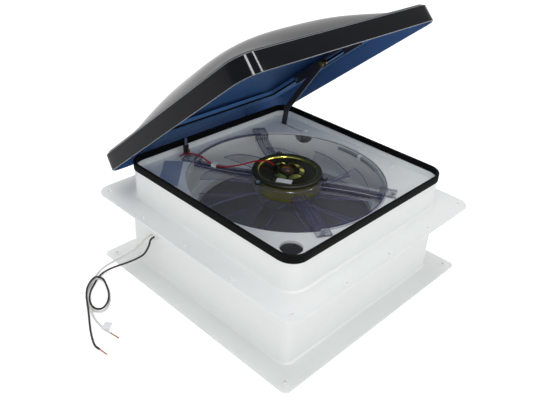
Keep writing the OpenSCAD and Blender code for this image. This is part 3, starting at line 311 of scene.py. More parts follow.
def surface(name, colour, rough, metal=0.0, tone=0.06, coarse=60.0, fine=1500.0, bump=0.03, shine=0.5,
            second=None):
    """A material whose colour, roughness and height vary a little with the grain group. Its colour runs from
    a darker tone to a lighter one, or to the second colour."""
    made = bpy.data.materials.new(name)
    made.use_nodes = True
    tree = made.node_tree
    add, link = tree.nodes.new, tree.links.new
    shader = tree.nodes["Principled BSDF"]
    shader.inputs["Metallic"].default_value = metal
    shader.inputs["Specular IOR Level"].default_value = shine
    grain = add("ShaderNodeGroup")
    grain.node_tree = GRAIN
    grain.inputs["Coarse"].default_value = coarse
    grain.inputs["Fine"].default_value = fine
    base = linear(colour)
    darker = base * (1 - tone)
    lighter = linear(second) if second else np.minimum(base * (1 + tone), 1)
    colours = add("ShaderNodeMix")
    colours.data_type = "RGBA"
    colours.inputs["A"].default_value = (*darker, 1)
    colours.inputs["B"].default_value = (*lighter, 1)
    link(grain.outputs["Tone"], colours.inputs["Factor"])
    link(colours.outputs["Result"], shader.inputs["Base Color"])
    spread = add("ShaderNodeMapRange")
    spread.inputs["To Min"].default_value = max(rough - ROUGH_SPREAD, LEAST_ROUGH)
    spread.inputs["To Max"].default_value = rough + ROUGH_SPREAD
    link(grain.outputs["Tone"], spread.inputs["Value"])
    link(spread.outputs["Result"], shader.inputs["Roughness"])
    raised = add("ShaderNodeBump")
    raised.inputs["Strength"].default_value = bump
    raised.inputs["Distance"].default_value = BUMP_DEPTH
    link(grain.outputs["Height"], raised.inputs["Height"])
    link(raised.outputs["Normal"], shader.inputs["Normal"])
    return made


def clear_surface(name, colour, alpha, edge_alpha):
    """Clear plastic: lets most light through where it is faced, and less where it is seen at a low angle."""
    made = surface(name, colour, rough=0.08, tone=0.02, bump=0.01)
    tree = made.node_tree
    turned = tree.nodes.new("ShaderNodeLayerWeight")
    turned.inputs["Blend"].default_value = CLEAR_BLEND
    cover = tree.nodes.new("ShaderNodeMapRange")
    cover.inputs["To Min"].default_value = alpha
    cover.inputs["To Max"].default_value = edge_alpha
    tree.links.new(turned.outputs["Facing"], cover.inputs["Value"])
    tree.links.new(cover.outputs["Result"], tree.nodes["Principled BSDF"].inputs["Alpha"])
    return made


FINISHES = {
    "body_white": dict(colour=(236, 239, 238), rough=0.42, tone=0.02, bump=0.02),
    "white_plastic": dict(colour=(228, 230, 230), rough=0.40, tone=0.02),
    "seal_rubber": dict(colour=(15, 15, 16), rough=0.62, tone=0.2, fine=2500, bump=0.12, shine=0.05),
    "lid_smoke": dict(colour=(16, 16, 21), rough=0.09, tone=0.08, coarse=20, bump=0.003),
    "lid_skirt": dict(colour=(11, 12, 18), rough=0.08, tone=0.08, coarse=20, bump=0.003, shine=0.13),
    # Pale grey on the lid's bevels and rounded edges: a painted highlight, the thin lines of light along them
    "lid_edge_highlight": dict(colour=(118, 121, 128), rough=0.2, tone=0.05),
    # Lighter copy of the lid's blue for its inner frame: painted light, where the upstand catches light from above
    "lid_blue_lit": dict(colour=(80, 122, 176), rough=0.30, tone=0.1, coarse=14, bump=0.01),
    "lid_blue": dict(colour=(66, 103, 154), rough=0.30, tone=0.12, coarse=14, bump=0.01),
    "motor_gold": dict(colour=(74, 76, 40), rough=0.26, metal=0.85, tone=0.35, coarse=26,
                       second=(116, 98, 60)),
    # Darker, duller copy of the end plate's metal, on its rim and on the plate under the face: painted shade in
    # place of what the metal reflects
    "plate_gold_shaded": dict(colour=(40, 40, 26), rough=0.5, metal=0.2, tone=0.2, coarse=40, shine=0.3),
    "can_gold": dict(colour=(128, 124, 44), rough=0.35, metal=0.6, tone=0.25),
    # Bright gold on the end plate's dish wall and louvres: a painted highlight, a lit copy of the plate's metal
    "plate_gold_highlight": dict(colour=(206, 196, 96), rough=0.22, metal=1.0, tone=0.2, coarse=40),
    "boss_gold": dict(colour=(226, 150, 92), rough=0.25, metal=1.0, tone=0.12),
    "zinc_yellow": dict(colour=(196, 164, 96), rough=0.28, metal=1.0, tone=0.15, coarse=200),
    "steel": dict(colour=(178, 184, 196), rough=0.30, metal=1.0, tone=0.08, coarse=150),
    "dark_steel": dict(colour=(70, 70, 74), rough=0.42, metal=0.7, tone=0.12, coarse=120),
    "bronze": dict(colour=(176, 108, 66), rough=0.35, metal=1.0, tone=0.12, coarse=300),
    "copper": dict(colour=(178, 98, 66), rough=0.36, metal=1.0, tone=0.1, coarse=400),
    "ferrite": dict(colour=(62, 60, 60), rough=0.7, tone=0.15),
    "black_plastic": dict(colour=(26, 26, 28), rough=0.45, tone=0.15, bump=0.05),
    "bulb_grey": dict(colour=(150, 156, 160), rough=0.35, metal=0.3, tone=0.08, coarse=150),
    # Dark grey for the ring at the deck's opening edge: painted shade
    "deck_edge_shade": dict(colour=(60, 60, 64), rough=0.7, tone=0.1),
    # Near-black for the band at the foot of the lid frame's upstand: painted shadow
    "frame_shadow_dark": dict(colour=(14, 15, 20), rough=0.6, tone=0.1, shine=0.1),
    "label_silver": dict(colour=(150, 164, 188), rough=0.45, tone=0.05, coarse=90),
    "label_white": dict(colour=(226, 228, 232), rough=0.55, tone=0.03, fine=900),
    "screen_grey": dict(colour=(136, 136, 136), rough=0.7, tone=0.15, coarse=300, shine=0.2),
    "red_lead": dict(colour=(158, 14, 24), rough=0.40, tone=0.08, shine=0.3),
    "black_lead": dict(colour=(22, 22, 23), rough=0.40, tone=0.1),
    "white_lead": dict(colour=(216, 216, 214), rough=0.45, tone=0.04),
}
# Clear looks, in the order of the kinds of face on the mount and the fan
CLEAR_FINISHES = {
    "clear_plastic": dict(colour=(150, 150, 162), alpha=0.05, edge_alpha=0.30),
    # Dense violet on edges and eased corners: the plastic's tint, with painted shade where clear plastic shows
    # dark edges
    "clear_edge_shade": dict(colour=(86, 86, 128), alpha=0.50, edge_alpha=0.75),
    # Near-white on rib tops and edges: painted highlight lines
    "clear_highlight": dict(colour=(244, 244, 252), alpha=0.55, edge_alpha=0.8),
    "clear_web": dict(colour=(136, 136, 158), alpha=0.14, edge_alpha=0.30),
    "clear_thin": dict(colour=(122, 122, 138), alpha=0.08, edge_alpha=0.30),
    # Denser violet on the fan's blade rims and leading bands: the plastic's tint, with painted shade
    "clear_rim_shade": dict(colour=(140, 140, 184), alpha=0.50, edge_alpha=0.75),
    "clear_side": dict(colour=(150, 150, 166), alpha=0.02, edge_alpha=0.12),
}
# Kinds of clear face: the violet and rim kinds add painted shade to the plastic's tint, and the light kind is a
# painted highlight
FACE, VIOLET_SHADE, HIGHLIGHT_LINE, WEB, THIN, RIM_SHADE, SIDE = range(7)
LOOKS = {name: surface(name, **finish) for name, finish in FINISHES.items()}
LOOKS.update((name, clear_surface(name, **finish)) for name, finish in CLEAR_FINISHES.items())
NODE_LOOK = {
    # The lid's inner frame takes the lighter blue of painted light
    "lid_inner_frame": "lid_blue_lit", "thermostat_bulb": "bulb_grey", "motor_can": "can_gold",
    # The end plate under the pressed face takes the darker copy of painted shade
    "hinge_leaves": "lid_blue", "motor_end_plate": "plate_gold_shaded", "lead_exit_grommet": "body_white",
}
SLOT_OF = {p["node"]: p["material_slot"] for p in frame["record"]["subparts"]}
for node_name, node in nodes.items():
    look = LOOKS[NODE_LOOK.get(node_name, SLOT_OF[node_name])]
    for place in node.material_slots:
        place.material = look

# Leads and their stripped ends
black, black_line, black_length = lead("black_lead", BLACK_ROUTE, LEAD_R)
white, white_line, white_length = lead("white_lead", WHITE_ROUTE, LEAD_R)
red, _, _ = lead("red_lead", RED_ROUTE, RED_R)
finish_piece(black, "vent_frame", ["black_lead"], ["supply_lead_black"])
finish_piece(white, "vent_frame", ["white_lead"], ["supply_lead_white"])
finish_piece(red, "vent_frame", ["red_lead"], ["motor_lead"])
TIP_L, TIP_SUNK = 0.016, 0.0005
STRANDS, STRAND_R, STRAND_RING, STRAND_TURNS = 6, 0.00029, 0.0006, 2.5


def stripped_end(name, line, steps=14, sides=8):
    """Thin wires that wind round a straight line on from the lead, and one along it. Each is a tube whose
    middle goes round the line at one distance as it goes on, with flat ends."""
    ahead = unit(line[-1] - line[-1 - ROUTE_STEPS])
    side = unit(np.cross(ahead, [0, 0, 1]))
    up = np.cross(ahead, side)
    s = np.linspace(-TIP_SUNK, TIP_L, steps)[np.r_[0, :steps, steps - 1]]
    width = STRAND_R * np.r_[0, np.ones(steps), 0]
    a = np.linspace(0, 2*np.pi, sides, endpoint=False)[None, :, None]
    rings = width[:, None, None]*(np.cos(a)*side + np.sin(a)*up)
    faces = wrap_faces(len(s), sides)
    wires = []
    for k in range(STRANDS + 1):
        wind = (2*np.pi*(k/STRANDS + STRAND_TURNS*s/TIP_L))[:, None]
        off = STRAND_RING if k < STRANDS else 0.0
        middle = line[-1] + s[:, None]*ahead + off*(np.cos(wind)*side + np.sin(wind)*up)
        wires.append(((middle[:, None, :] + rings).reshape(-1, 3), faces, np.zeros(len(faces))))
    obj = add_mesh(name, *join(wires), weld=True)
    return finish_piece(obj, "vent_frame", ["copper"], ["lead_tips"])


black_end = stripped_end("black_lead_end", black_line)
white_end = stripped_end("white_lead_end", white_line)

# Lid: drawn shut, then carried to its open place
hinge = joints["lid_hinge"]
HINGE = np.array(hinge["pos_m"])
OPEN = math.radians(hinge["range_deg"][1])
LID_W, LID_R, LID_WALL, SKIRT_LEAN = 0.394, 0.028, 0.002, 0.0015
BORDER_TOP, SKIRT_Z = 0.0655, 0.0365
DOME_W, DOME_H, DOME_RINGS = 0.360, 0.050, 40
EDGE, INNER_EDGE, EDGE_TIGHTER = 0.0006, 0.0025, 0.001
LEDGE_W, LEDGE_H = 0.0034, 0.0030
LID_LOOKS = ["lid_smoke", "lid_blue", "lid_skirt", "lid_edge_highlight"]
LID_DOME, LID_INSIDE, LID_SKIRT, LID_HIGHLIGHT = range(4)


def lid_open(points):
    """Turns points of the shut lid about the hinge line to where they stand when it is open."""
    d = points - HINGE
    c, s = math.cos(OPEN), math.sin(OPEN)
    return HINGE + np.column_stack([d[:, 0], c*d[:, 1] + s*d[:, 2], c*d[:, 2] - s*d[:, 1]])


def rounded_levels(out, radius, top, size, kinds):
    """Five levels over a rounded edge: a quarter circle of that size up and in to the top."""
    bend = np.linspace(0, np.pi/2, 5)
    return [(out - size*(1 - math.cos(b)), radius - EDGE_TIGHTER, top - size*(1 - math.sin(b)), kind)
            for b, kind in zip(bend, kinds)]


def lid_skin(wall, outer):
    """Rings of one skin from the skirt's edge to the middle, and the kind of face above each. The outer skin
    has a bevelled edge and a narrow ledge over the skirt, whose bevels and rounded edges carry a pale grey
    painted highlight. The dome's height falls off with the cube of the distance from the middle along both axes."""
    half, radius, top = LID_W/2 - wall, LID_R - wall, BORDER_TOP - wall
    lean = half - SKIRT_LEAN
    if outer:
        levels = [(half - EDGE, radius, SKIRT_Z, LID_HIGHLIGHT), (half, radius, SKIRT_Z + EDGE, LID_SKIRT)]
        levels += rounded_levels(lean, radius, top - LEDGE_H, EDGE, [LID_HIGHLIGHT]*4 + [LID_SKIRT])
        levels += rounded_levels(lean - LEDGE_W, radius, top, EDGE, [LID_HIGHLIGHT]*4 + [LID_DOME])
    else:
        levels = [(half, radius, SKIRT_Z, LID_INSIDE)]
        levels += rounded_levels(lean, radius, top, INNER_EDGE, [LID_INSIDE]*5)
    kind = LID_DOME if outer else LID_INSIDE
    levels += [(f*DOME_W/2, min(radius, f*DOME_W/3), top, kind) for f in np.linspace(1.0, 0.0, DOME_RINGS)]
    rings = []
    for ring_half, ring_radius, z, _ in levels:
        plan = square_ring(ring_half, ring_radius)
        fall = 1 - np.minimum(np.abs(plan)/(DOME_W/2), 1)**3
        rings.append(np.column_stack([plan, z + DOME_H*fall[:, 0]*fall[:, 1]]))
    return rings, [level[-1] for level in levels]


def make_lid():
    """Shell of the lid: the inner skin from the middle out, the skirt's edge, then the outer skin back."""
    inner, inside = lid_skin(LID_WALL, False)
    outer, outside = lid_skin(0.0, True)
    rings = inner[::-1] + outer
    # The skirt's bottom edge and the outer skin's bevels and rounded edges take the pale grey of a painted
    # highlight
    kinds = np.repeat(inside[:-1] + [LID_HIGHLIGHT] + outside[:-1], len(rings[0]))
    faces = wrap_faces(len(rings), len(rings[0]))
    obj = add_mesh("lid_dome", lid_open(np.vstack(rings)), faces, kinds, weld=True)
    finish_piece(obj, "lid", LID_LOOKS, ["lid_shell"])


make_lid()

# Painted shadow: a dark band along the foot of the upstand of the lid's inner frame, where the gap under the
# upstand lies in shade
LAND_Z, FRAME_SHADOW_HALF, FRAME_SHADOW_R = 0.0615, 0.1482, 0.0052
FRAME_SHADOW_T, FRAME_SHADOW_H = 0.0004, 0.0032


def make_frame_shadow():
    """A low dark band along a square with round corners, just inside the upstand: painted shadow."""
    profile = box_profile(FRAME_SHADOW_HALF, FRAME_SHADOW_HALF + FRAME_SHADOW_T, LAND_Z, LAND_Z + FRAME_SHADOW_H)
    points, faces = square_sweep(profile, FRAME_SHADOW_R)
    obj = add_mesh("frame_shadow_band", lid_open(points), faces)
    finish_piece(obj, "lid", ["frame_shadow_dark"])


make_frame_shadow()

# Seal: a rounded lip on the rim with a leg outside the collar
seal_low, seal_high = (np.array(v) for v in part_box("rim_seal"))
SEAL_OUT, SEAL_TOP, SEAL_FOOT = seal_high[0], seal_high[2], seal_low[2]
SEAL_W, SEAL_LEG_W, SEAL_R = 0.004, 0.0015, 0.0225
BEVEL_W, BEVEL_H = 0.0004, 0.0006
RIM_Z = 0.051


def seal_profile():
    """A lip on the rim, half round on top, and a straight leg outside the collar, bevelled at its foot."""
    a = np.linspace(0, np.pi, 11)
    half = SEAL_W/2
    lip = np.column_stack([SEAL_OUT - half + half*np.cos(a), SEAL_TOP - half + half*np.sin(a)])
    collar = SEAL_OUT - SEAL_LEG_W
    leg = [(SEAL_OUT - SEAL_W, RIM_Z), (collar, RIM_Z), (collar, SEAL_FOOT), (SEAL_OUT - BEVEL_W, SEAL_FOOT),
           (SEAL_OUT, SEAL_FOOT + BEVEL_H)]
    return np.vstack([lip, leg])


seal = add_mesh("seal_lip", *square_sweep(seal_profile(), SEAL_R))
finish_piece(seal, "vent_frame", ["seal_rubber"], ["rim_seal"])

# Insect screen
WIRE_PITCH, WIRE_W, WIRE_T = 0.0022, 0.0016, 0.0004
BOX_FACES = np.array([[0, 1, 3, 2], [4, 6, 7, 5], [0, 4, 5, 1], [2, 3, 7, 6], [0, 2, 6, 4], [1, 5, 7, 3]])


def make_screen():
    """Woven insect screen: flat wires at one pitch both ways, one way over the other. Each is a box as long
    as the circle is wide at its outer edge."""
    low, high = (np.array(v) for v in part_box("insect_screen"))
    radius, z = (high[0] - low[0])/2, low[2]
    places = np.arange(-radius + WIRE_PITCH, radius, WIRE_PITCH)[:, None]
    reach = np.sqrt(radius**2 - (np.abs(places) + WIRE_W/2)**2)
    i, j, k = (v.ravel() for v in np.meshgrid([-1, 1], [-1, 1], [0, 1], indexing="ij"))
    under = np.tile(z + k*WIRE_T, (len(places), 1))
    along_x = np.stack([i*reach, places + j*WIRE_W/2, under], -1)
    along_y = np.stack([places + i*WIRE_W/2, j*reach, under + WIRE_T], -1)
    points = np.stack([along_x, along_y], 1).reshape(-1, 3)
    starts = np.arange(0, len(points), 8)
    faces = (BOX_FACES + starts[:, None, None]).reshape(-1, 4)
    obj = add_mesh("woven_screen", points, faces, smooth=False)
    finish_piece(obj, "vent_frame", ["screen_grey"], ["insect_screen"])


make_screen()

# Clear motor mount: ring, posts, ribbed legs with feet, and arcs along the fan opening
EASE = 0.0008
MOUNT_IN, MOUNT_OUT, MOUNT_LOW, MOUNT_HIGH = 0.0523, 0.0573, 0.032, 0.045
POST_HOLE, POST_R, POST_LOW, POST_HIGH = 0.0016, 0.005, 0.031, 0.048
SCREW_RING, SCREW_ANGLES = 0.060, np.radians([56, 176, 296])
LEG_START, LEG_LOW, LEG_TOP, LEG_BOW = MOUNT_OUT - 0.001, 0.028, 0.0385, 0.0025
RIB_W, RIB_SPREAD, RIB_END = 0.0013, 0.0098, 0.1502
WEB_W, WEB_LOW, WEB_HIGH = 0.0205, 0.0352, 0.0364
FOOT_W, FOOT_LOW, FOOT_TOP, FOOT_PAST, RISER = 0.022, 0.041, 0.0445, 0.005, 0.006
FOOT_X, FOOT_Y = 0.081, 0.145
FOOT_R, LEG_ANGLE = math.hypot(FOOT_X, FOOT_Y), math.atan2(FOOT_Y, FOOT_X)
ARC_R, ARC_W, ARC_LOW, ARC_HIGH, ARC_WEB_H, LINE_W = 0.1546, 0.004, 0.039, 0.0435, 0.0015, 0.001
# Tops of each leg's ribs: violet lines of painted shade, pale lines of painted highlight, and clear faces
EDGED = (VIOLET_SHADE, VIOLET_SHADE, FACE, VIOLET_SHADE, FACE, VIOLET_SHADE)
LINED = (HIGHLIGHT_LINE, HIGHLIGHT_LINE, VIOLET_SHADE, FACE, VIOLET_SHADE, HIGHLIGHT_LINE)


def mount_ring():
    """Turned ring round the motor, its outer edges eased."""
    profile = [(MOUNT_IN, MOUNT_LOW), (MOUNT_OUT - EASE, MOUNT_LOW), (MOUNT_OUT, MOUNT_LOW + EASE),
               (MOUNT_OUT, MOUNT_HIGH - EASE), (MOUNT_OUT - EASE, MOUNT_HIGH), (MOUNT_IN, MOUNT_HIGH)]
    return lathe(profile, kinds=[FACE, VIOLET_SHADE, FACE, VIOLET_SHADE, FACE, FACE])


def mount_post(a):
    """Turned post for the motor's screw at that angle."""
    profile = box_profile(POST_HOLE, POST_R, POST_LOW, POST_HIGH)
    place = (SCREW_RING*math.cos(a), SCREW_RING*math.sin(a), 0)
    # The post's underside takes violet painted shade, and its top a painted highlight
    return lathe(profile, place, 24, [VIOLET_SHADE, FACE, HIGHLIGHT_LINE, FACE])


def leg_path(turn, offset, start, end, bow=0.0):
    """A path out from the axis at that angle, set off to one side and bowed by a half sine."""
    s = np.linspace(0, 1, 13)
    r, side = start + (end - start)*s, offset + bow*np.sin(np.pi*s)
    return np.column_stack([r*math.cos(turn) - side*math.sin(turn), r*math.sin(turn) + side*math.cos(turn)])


def mount_leg(turn, tops):
    """Upright ribs, whose tops are of those kinds, on a thin web, then a riser to a flat foot."""
    # On the lined legs the ribs' undersides take the painted highlight too
    under = SIDE if tops is EDGED else HIGHLIGHT_LINE
    parts = []
    for offset, top in zip(np.linspace(-RIB_SPREAD, RIB_SPREAD, len(tops)), tops):
        path = leg_path(turn, offset, LEG_START, RIB_END, LEG_BOW)
        parts.append(strip(path, RIB_W, LEG_LOW, LEG_TOP, (under, SIDE, top, SIDE), VIOLET_SHADE))
    web = leg_path(turn, 0, LEG_START, RIB_END, LEG_BOW)
    riser = leg_path(turn, 0, RIB_END - RISER, RIB_END)
    foot = leg_path(turn, 0, RIB_END - RISER, FOOT_R + FOOT_PAST)
    parts.append(strip(web, WEB_W, WEB_LOW, WEB_HIGH, (WEB, VIOLET_SHADE, WEB, VIOLET_SHADE), FACE))
    parts.append(strip(riser, FOOT_W, WEB_LOW, FOOT_TOP, (FACE, VIOLET_SHADE, FACE, VIOLET_SHADE), WEB))
    parts.append(strip(foot, FOOT_W, FOOT_LOW, FOOT_TOP, (FACE, VIOLET_SHADE, FACE, VIOLET_SHADE), VIOLET_SHADE))
    return parts


def mount_arc(middle):
    """An arc between two feet: a dark violet line of painted shade and a pale line of painted highlight, with a
    low web between them.
    """
    reach = math.pi/2 - LEG_ANGLE
    turn = middle + np.linspace(-reach, reach, 25)
    way = np.column_stack([np.cos(turn), np.sin(turn)])
    line_off = ARC_W/2 - LINE_W/2
    return [strip(r*way, wide, ARC_LOW, high, (FACE, FACE, tone, tone), tone)
            for r, wide, high, tone in ((ARC_R - line_off, LINE_W, ARC_HIGH, VIOLET_SHADE),
                                        (ARC_R + line_off, LINE_W, ARC_HIGH, HIGHLIGHT_LINE),
                                        (ARC_R, ARC_W - 2*LINE_W, ARC_LOW + ARC_WEB_H, WEB))]


def make_mount():
    """Joins the ring, the posts, the four legs, and the arcs on the hinge side and the free side."""
    parts = [mount_ring()] + [mount_post(a) for a in SCREW_ANGLES]
    for turn, tops in ((LEG_ANGLE, EDGED), (math.pi - LEG_ANGLE, LINED), (math.pi + LEG_ANGLE, EDGED),
                       (-LEG_ANGLE, LINED[::-1])):
        parts += mount_leg(turn, tops)
    parts += mount_arc(math.pi/2) + mount_arc(-math.pi/2)
    obj = add_mesh("ribbed_mount", *join(parts), smooth=False)
    finish_piece(obj, "vent_frame", CLEAR_FINISHES, ["motor_mount"])


make_mount()

# Clear fan: a cup-shaped hub and twisted blades
HUB_R, HUB_LOW, HUB_HIGH, HUB_WALL = 0.046, 0.003, 0.021, 0.003
SHAFT_R, MIDDLE_R, MIDDLE_HIGH = 0.00405, 0.008, HUB_HIGH - 0.001
FAN_R, BLADES, BLADE_T, BLADE_STEPS, BAND = 0.137, 10, 0.002, 13, 0.045
CHORD_DEG, CHORD_GROWTH_DEG, SWEEP_DEG = 22, 10, 6
RISE, RISE_GROWTH, TIP_BOW = 0.013, 0.007, 0.016


def blade_points(turn, side):
    """One skin of a blade. Along it the chord's angle grows and the whole sweeps on; across it the height
    rises from edge to edge and bows upwards, more so towards the tip."""
    across = np.concatenate([[-0.5], np.linspace(BAND - 0.5, 0.5, BLADE_STEPS - 1)])
    s, t = np.meshgrid(np.linspace(0, 1, BLADE_STEPS), across, indexing="ij")
    root = HUB_R - HUB_WALL/2
    r = root + (FAN_R - root)*s
    a = turn + np.radians((CHORD_DEG + CHORD_GROWTH_DEG*s)*t + SWEEP_DEG*s)
    middle = (HUB_LOW + HUB_HIGH)/2 + side*BLADE_T/2
    z = middle + (RISE + RISE_GROWTH*s)*t + TIP_BOW*(0.25 - t**2)*s
    return np.stack([r*np.cos(a), r*np.sin(a), z], -1).reshape(-1, 3)


def blade(turn):
    """Both skins of a blade, with a band along the leading edge, and the rim between them."""
    points = np.vstack([blade_points(turn, -1), blade_points(turn, 1)])
    n = BLADE_STEPS
    step = np.arange(n - 1)
    i, k = (v.ravel() for v in np.meshgrid(step, step, indexing="ij"))
    under = i*n + k
    skin = np.column_stack([under, under + 1, under + n + 1, under + n])
    over = skin[:, ::-1] + n**2
    far = n*(n - 1)
    loop = np.concatenate([step*n, far + step, far + n - 1 - step*n, n - 1 - step])
    ahead = np.roll(loop, -1)
    rim = np.column_stack([loop, ahead, ahead + n**2, loop + n**2])
    # The leading band and the rim take the denser violet of painted shade
    tone = np.where(k == 0, RIM_SHADE, THIN)
    return points, np.vstack([skin, over, rim]), np.concatenate([tone, tone, np.full(len(rim), RIM_SHADE)])


def make_fan():
    """Turned hub with a floor and a middle, its edges eased, and the blades round it."""
    inside, floor = HUB_R - HUB_WALL, HUB_LOW + HUB_WALL
    cup = [(SHAFT_R, HUB_LOW), (HUB_R - EASE, HUB_LOW), (HUB_R, HUB_LOW + EASE), (HUB_R, HUB_HIGH - EASE),
           (HUB_R - EASE, HUB_HIGH), (inside, HUB_HIGH), (inside, floor), (MIDDLE_R, floor),
           (MIDDLE_R, MIDDLE_HIGH), (SHAFT_R, MIDDLE_HIGH)]
    # The hub's eased edges and the middle's side take violet painted shade, and the top of its rim a painted
    # highlight
    parts = [lathe(cup, kinds=[FACE, VIOLET_SHADE, FACE, VIOLET_SHADE, HIGHLIGHT_LINE, FACE, FACE, FACE, VIOLET_SHADE, FACE])]
    parts += [blade(2*math.pi*k/BLADES) for k in range(BLADES)]
    obj = add_mesh("clear_fan", *join(parts))
    finish_piece(obj, "rotor", CLEAR_FINISHES, ["fan"])


make_fan()

# Pressed face of the motor's end plate
PLATE_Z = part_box("motor_label")[0][2]
PLATE_R, PLATE_RISE, PLATE_FLOOR, PLATE_SUNK = 0.0545, 0.0024, 0.0001, 0.0003
WALL_R, WALL_RUN = 0.0478, 0.0036
BOSS_H = 0.0022
LOUVRE_IN, LOUVRE_OUT, LOUVRE_HALF_TURN, LOUVRE_LIFT = 0.0195, 0.0265, 0.42, 0.003
LOUVRE_UNDER, LOUVRE_OVER = 0.0002, 0.0004
LOUVRE_ANGLES = np.radians([-165, -105, -45, 15, 75])
PLATE_LOOKS = ["motor_gold", "plate_gold_highlight", "boss_gold", "plate_gold_shaded"]
PLATE_GOLD, PLATE_HIGHLIGHT, PLATE_BOSS, PLATE_SHADED = range(4)


def pressed_plate():
    """Turned profile: a flat rim, a rounded wall down to the floor, and a bearing boss in the middle. The rim and
    an edge at the boss's top take painted shade, and the wall takes a painted highlight in bright gold.
    """
    a = np.linspace(0, np.pi/2, 6)[1:]
    rim = [(PLATE_R, -PLATE_SUNK), (PLATE_R, PLATE_RISE - EASE), (PLATE_R - EASE, PLATE_RISE),
           (WALL_R, PLATE_RISE)]
    wall = np.column_stack([WALL_R - WALL_RUN*np.sin(a), PLATE_FLOOR + (PLATE_RISE - PLATE_FLOOR)*np.cos(a)])
    boss = [(0.0104, PLATE_FLOOR), (0.0098, EASE), (0.0094, BOSS_H - EASE), (0.0088, BOSS_H),
            (0.0082, BOSS_H), (0.0078, BOSS_H - EASE), (0.0078, -PLATE_SUNK)]
    kinds = [PLATE_SHADED]*3 + [PLATE_HIGHLIGHT]*5 + [PLATE_GOLD, PLATE_BOSS, PLATE_BOSS, PLATE_SHADED]
    kinds += [PLATE_BOSS, PLATE_BOSS, PLATE_GOLD, PLATE_GOLD]
    return lathe(np.vstack([rim, wall, boss]), (0, 0, PLATE_Z), 128, kinds)


def louvre(turn, steps=13):
    """A bowed strip beside the boss, whose inner edge lifts in a half sine. Its faces are turned round, since
    its corners go the other way about."""
    u = np.linspace(-1, 1, steps)
    flat = np.full(steps, PLATE_FLOOR)
    lift = LOUVRE_LIFT*np.cos(u*np.pi/2) + PLATE_FLOOR
    a = turn + LOUVRE_HALF_TURN*u
    rows = [np.column_stack([r*np.cos(a), r*np.sin(a), PLATE_Z + z])
            for r, z in ((LOUVRE_IN, lift - LOUVRE_UNDER), (LOUVRE_OUT, flat - LOUVRE_UNDER),
                         (LOUVRE_OUT, flat + LOUVRE_OVER), (LOUVRE_IN, lift + LOUVRE_OVER))]
    # The louvre is all painted highlight in bright gold
    points, faces, kinds = bar(rows, [PLATE_HIGHLIGHT]*4, PLATE_HIGHLIGHT)
    return points, faces[:, ::-1], kinds


plate_face = add_mesh("end_plate_face", *join([pressed_plate()] + [louvre(turn) for turn in LOUVRE_ANGLES]))
finish_piece(plate_face, "vent_frame", PLATE_LOOKS)

# Painted shade: a thin dark ring at the deck's opening edge, where the edge wall lies in shadow
OPENING_R, DECK_LOW, DECK_SHADE_HALF, DECK_SHADE_H = 0.157, 0.038, 0.0004, 0.0009
shade_in, shade_out = OPENING_R - DECK_SHADE_HALF, OPENING_R + DECK_SHADE_HALF
deck_shade_profile = box_profile(shade_in, shade_out, DECK_LOW, DECK_LOW + DECK_SHADE_H)
deck_shade_ring = add_mesh("deck_shade_ring", *lathe(deck_shade_profile, turns=160))
finish_piece(deck_shade_ring, "vent_frame", ["deck_edge_shade"])

# Soft corners where the walls meet the flanges
ROOF_TOP, COLLAR_OUT, COLLAR_R, COLLAR_COVE = 0.0025, 0.174, 0.025, 0.005
CEILING_TOP, TRIM_OUT, TRIM_R, TRIM_COVE = FLOOR_Z + 0.0025, 0.175, 0.0135, 0.004
COVE_SUNK = 0.0003


def cove(name, half, radius, z, size):
    """A hollow quarter-round along the foot of a square wall, sunk a little into wall and flange."""
    a = np.linspace(0, np.pi/2, 8)
    curve = np.column_stack([half + size*(1 - np.sin(a)), z + size*(1 - np.cos(a))])
    back, low = half - COVE_SUNK, z - COVE_SUNK
    profile = np.vstack([[(back, low), (half + size, low)], curve, [(back, z + size)]])
    obj = add_mesh(name, *square_sweep(profile, radius))
    finish_piece(obj, "vent_frame", ["body_white"])


cove("collar_cove", COLLAR_OUT, COLLAR_R, ROOF_TOP, COLLAR_COVE)
cove("trim_cove", TRIM_OUT, TRIM_R, CEILING_TOP, TRIM_COVE)

# Raised seats round the screw holes of the roof flange
HOLE_CORNER, HOLE_SIDE, HOLE_STEP = 0.1965, 0.2035, 0.098
SEAT_R, SEAT_HALF, SEAT_H, SEAT_SUNK = 0.0036, 0.001, 0.0007, 0.0001


def hole_places():
    """Corner holes of the roof flange, and three holes along each side."""
    places = [(x*HOLE_CORNER, y*HOLE_CORNER) for x in (-1, 1) for y in (-1, 1)]
    for side in (-HOLE_SIDE, HOLE_SIDE):
        for step in (-HOLE_STEP, 0, HOLE_STEP):
            places += [(side, step), (step, side)]
    return places


def make_seats():
    """A low rounded ring round each screw hole: half an ellipse turned round the hole's axis."""
    a = np.linspace(0, np.pi, 7)
    section = np.column_stack([SEAT_R + SEAT_HALF*np.cos(a), SEAT_H*np.sin(a) - SEAT_SUNK])
    parts = [lathe(section, (x, y, ROOF_TOP), 24) for x, y in hole_places()]
    obj = add_mesh("screw_seats", *join(parts))
    finish_piece(obj, "vent_frame", ["body_white"])


make_seats()

# Stage: pale floor, white surroundings and soft lights
FLOOR_HALF, FLOOR_PALE, FLOOR_ROUGH, FLOOR_GLOW = 6.0, 0.94, 0.8, 0.35
WORLD_LIGHT, WORLD_SEEN = 0.58, 1.0
AIM = np.array([0, 0, 0.05])
# Each lamp: name, place, size, power in watts, and the kind of light it gives
LAMPS = [
    ("over", (0.2, 0.4, 2.2), (2.0, 2.0), 24, "both"),
    ("left", (-2.0, -0.3, 1.0), (1.0, 1.0), 5, "diffuse"),
    ("right", (0.9, -2.1, 0.2), (1.0, 1.0), 7, "diffuse"),
    ("front", (-1.5, -1.5, 1.0), (1.0, 1.0), 6, "diffuse"),
    ("strip_left", (-0.58, -1.21, 1.89), (0.34, 1.0), 50, "gloss"),
    ("strip_right", (1.0, -1.12, 1.84), (0.24, 1.0), 30, "gloss"),
]


